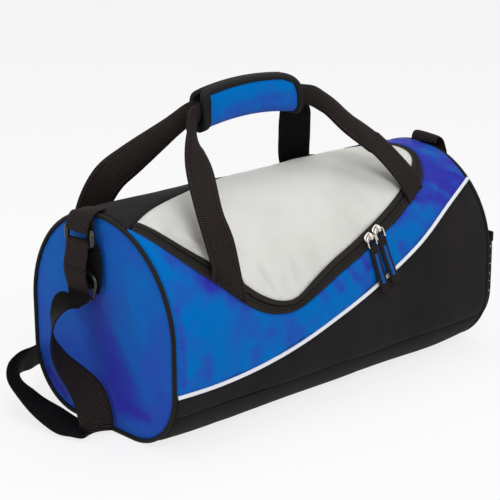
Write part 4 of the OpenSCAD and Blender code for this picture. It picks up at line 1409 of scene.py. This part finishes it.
def add_tri_glide():
    """The adjuster: a moulded frame with a middle bar, between the loop and the strap."""
    lean = Matrix.Rotation(GLIDE_TILT, 2)

    def leaning(points):
        tilted = [lean @ Vector((y, z)) for y, z in points]
        return np.array([(-BAR_X, RING_Y - GLIDE_SHIFT + p.x, GLIDE_Z + p.y) for p in tilted])

    oval = oval_section(0.0017, 0.0024)
    frame_path = leaning(rounded_frame(GLIDE_HALF, -GLIDE_RISE, GLIDE_RISE, GLIDE_CORNER))
    outer = sweep("glide_frame", frame_path, oval, (1, 0, 0), PLASTIC, closed=True)
    wear(outer, "left_strap_end", "black_plastic", "tri_glide")
    bar = leaning(even([(-GLIDE_HALF, 0), (GLIDE_HALF, 0)], PATH_STEP))
    wear(sweep("glide_bar", bar, oval, (1, 0, 0), PLASTIC), "left_strap_end", "black_plastic")


add_tri_glide()


# Zipper sliders with their x and the lean of the pull in degrees, and the way that both pulls swing
SLIDERS = [("left", 0.048, 10), ("right", 0.064, 9)]
PULL_SWING = (0.995, -0.10)
LUG_HEIGHT = 0.0062
WIRE = 0.0009
PULL_RING_HALF = 0.007
PULL_RING_LENGTH = 0.013
TAB_WIDTH = 0.013
TAB_LENGTH = 0.053
TAB_WAVE = 0.0010
TAB_BENDS = 60
# Rings of a slider from below upwards: the height, and how much wider than its outline
SLIDER_RINGS = [
    (0.0011, -0.0008), (0.0014, 0), (0.0024, 0), (0.0030, -0.0007), (0.0033, -0.0022), (0.0033, -0.0040),
]


def zip_frame(x, heading=None):
    """The frame on the zipper at x: its first axis along a heading in x and s, its third out of the cloth."""
    rising = ZIP_LINE[: int(np.argmax(ZIP_LINE[:, 0]))]
    s = at_x(rising, x)
    if heading is None:
        heading = (0.012, at_x(rising, x + 0.006) - at_x(rising, x - 0.006))
    out = (on_bag(x, s, 0.001) - on_bag(x, s)).normalized()
    down = (on_bag(x, s + 0.0002) - on_bag(x, s - 0.0002)).normalized()
    along = (Vector((heading[0], 0, 0)) + heading[1] * down).normalized()
    return Matrix.Translation(on_bag(x, s)) @ Matrix((along, out.cross(along), out)).transposed().to_4x4()


def moved(frame_at, points):
    """Points of a frame as points in space."""
    return np.array([frame_at @ Vector(p) for p in points])


def slider_outline(grow):
    """A slider seen from above: broad at its nose, narrow at its tail, all corners round."""
    turn = np.arange(28) / 28 * 2 * math.pi
    long = np.sign(np.cos(turn)) * np.abs(np.cos(turn)) ** 0.6
    wide = np.sign(np.sin(turn)) * np.abs(np.sin(turn)) ** 0.6
    return np.column_stack([(0.0070 + grow) * long, (0.0047 + 0.0008 * long + grow) * wide])


def add_slider(name, x, lean):
    """One slider with its lug, and on the lug the wire ring and the webbing tab that hangs from it."""
    slider = name + "_slider"
    hanging = name + "_pull"
    on_zip = zip_frame(x)
    rings = [moved(on_zip, [(*p, z) for p in slider_outline(grow)]) for z, grow in SLIDER_RINGS]
    plate = tube(name + "_plate", rings, [z for z, _ in SLIDER_RINGS], NICKEL)
    wear(plate, slider, "nickel", slider)

    on_swing = zip_frame(x, PULL_SWING)
    turn = np.linspace(-0.15 * math.pi, 1.15 * math.pi, 18)
    arch = [(0, 0.0034 * math.cos(a), LUG_HEIGHT - 0.0008 + 0.0030 * math.sin(a)) for a in turn]
    lug_section = oval_section(0.0021, 0.0013)
    lug = sweep(name + "_lug", moved(on_swing, arch), lug_section, on_swing.to_3x3().col[0], NICKEL)
    wear(lug, slider, "nickel")

    pull = on_swing @ Matrix.Translation((0, 0, LUG_HEIGHT)) @ Matrix.Rotation(math.radians(lean), 4, "X")
    across, _, out = pull.to_3x3().col
    loop = rounded_frame(PULL_RING_HALF, -PULL_RING_LENGTH, 0, 0.003)
    wire = moved(pull, [(a, b, 0) for a, b in loop])
    ring = sweep(name + "_wire", wire, round_section(WIRE), out, NICKEL, closed=True)
    wear(ring, hanging, "nickel", name + "_pull_ring")

    def on_tab(a, b, lift):
        """A point of the tab, a across it and b along it from the ring, that far above its middle."""
        return a, b - PULL_RING_LENGTH, lift + TAB_WAVE * math.sin(b * TAB_BENDS)

    at = np.linspace(0.0026, -TAB_LENGTH, 40)
    path = moved(pull, [on_tab(0, b, 0) for b in at])
    eye = np.exp(-((at / 0.0022) ** 2))
    tip = np.clip((at + TAB_LENGTH) / 0.0022, 0, 1)
    widths = TAB_WIDTH * (0.80 + 0.20 * np.sqrt(1 - (1 - tip) ** 2))
    section = lambda i: flat_section(widths[i], 0.0024 + 0.0022 * eye[i])
    tab = sweep(name + "_tab_web", path, section, across, WEB)
    wear(tab, hanging, "black_webbing", name + "_pull_tab")

    at = np.linspace(-0.0075, -TAB_LENGTH + 0.0095, 24)
    path = moved(pull, [on_tab(0, b, 0.0014) for b in at])
    stripe = sweep(name + "_stripe", path, flat_section(0.0046, 0.0007), across, STRIPE)
    wear(stripe, hanging, "blue_nylon", name + "_pull_stripe")
    rows = []
    for b in (-0.0050, -0.0064, -TAB_LENGTH + 0.0030, -TAB_LENGTH + 0.0085):
        rows.append(moved(pull, [on_tab(a, b, 0.0013) for a in (-0.0048, 0.0048)]))
    stitch_rows(name + "_tab_stitches", rows, hanging, "black_webbing", 0.0022, 0.0017, 0.00025)


for name, x, lean in SLIDERS:
    add_slider(name, x, lean)


# Net pocket on the right end
POCKET_X = 0.2545
POCKET_INSET = 0.006
POCKET_TOP = 0.139
POCKET_OUT = 0.0095
POCKET_BULGE = 0.003
NET_PITCH = 0.0066
NET_HOLE = 0.0025
SIDE_PITCH = 0.0044
SIDE_HOLE = 0.0014
NET_THICK = 0.0009
NET_STEP = 0.005
BINDING_HEIGHT = 0.0125
BINDING_THICK = 0.0028


def pocket_loop():
    """The pocket in y and z: the lower part of the end's outline, straight on top."""
    loop = end_loop(POCKET_INSET)
    low = loop[loop[:, 1] < POCKET_TOP - 0.001]
    half = low[:, 0].max()
    return np.vstack([[(half, POCKET_TOP)], low, [(-half, POCKET_TOP)]])


POCKET_LOOP = even(pocket_loop(), PATH_STEP, closed=True)
POCKET_SIDES = POCKET_LOOP[POCKET_LOOP[:, 1] < POCKET_TOP - 0.001]


def on_pocket(y, z, h):
    """A point of the net, which stands off from the end of the bag."""
    gap = float(np.sqrt(((POCKET_SIDES - (y, z)) ** 2).sum(1).min()))
    bulge = POCKET_OUT + POCKET_BULGE * float(smooth(gap / 0.05)) * (1 + 0.3 * ripple(y, z, 0.05, 15.0))
    return Vector((POCKET_X + bulge + h, y, z))


def net_height(y, z, gap, along):
    """The net is flat and of one colour."""
    return 0.0, 0.5


def add_net(name, loop, place, pitch, hole, node):
    """A piece of net that fills a loop, with a plain rim."""
    holes = lattice(loop.min(0), loop.max(0), pitch)
    holes = holes[inside(holes, loop)]
    holes = holes[to_edge(holes, loop)[0] > 1.2 * hole]
    net = panel(name, loop, NET_STEP, place, net_height, NET, NET, NET_THICK, holes, hole)
    wear(net, "body", "black_net", node)


def add_pocket():
    add_net("net", POCKET_LOOP, on_pocket, NET_PITCH, NET_HOLE, "net_pocket")
    sides = np.vstack([POCKET_LOOP[:1], POCKET_SIDES, POCKET_LOOP[-1:]])
    run = run_of(sides)
    inward = headings(sides) @ np.array([(0, 1), (-1, 0)])

    def on_side(a, d, h):
        y, z = (np.interp(a, run, sides[:, k]) + h * np.interp(a, run, inward[:, k]) for k in (0, 1))
        return Vector((POCKET_X + d, y, z))

    band = np.array([(0, 0), (run[-1], 0), (run[-1], POCKET_OUT), (0, POCKET_OUT)])
    add_net("net_side", band, on_side, SIDE_PITCH, SIDE_HOLE, "pocket_gusset")
    half = POCKET_LOOP[:, 0].max()
    path = np.array([on_pocket(y, POCKET_TOP, 0.0002) for y in np.linspace(-half, half, 60)])
    path[:, 0] += 0.0006 * np.array([ripple(y, 0, 0.012, 16.0) for y in path[:, 1]])
    binding = sweep("net_edge", path, flat_section(BINDING_HEIGHT, BINDING_THICK), (0, 0, 1), TRIM)
    wear(binding, "body", "black_polyester", "pocket_binding")
    row = path + (0.0016, 0, -0.0045)
    stitch_rows("net_edge_stitches", [row], "body", "black_polyester")


add_pocket()

board = bpy.data.objects["base_board"].data
board.materials.clear()
board.materials.append(BOARD)

bpy.context.scene.view_settings.view_transform = "Standard"
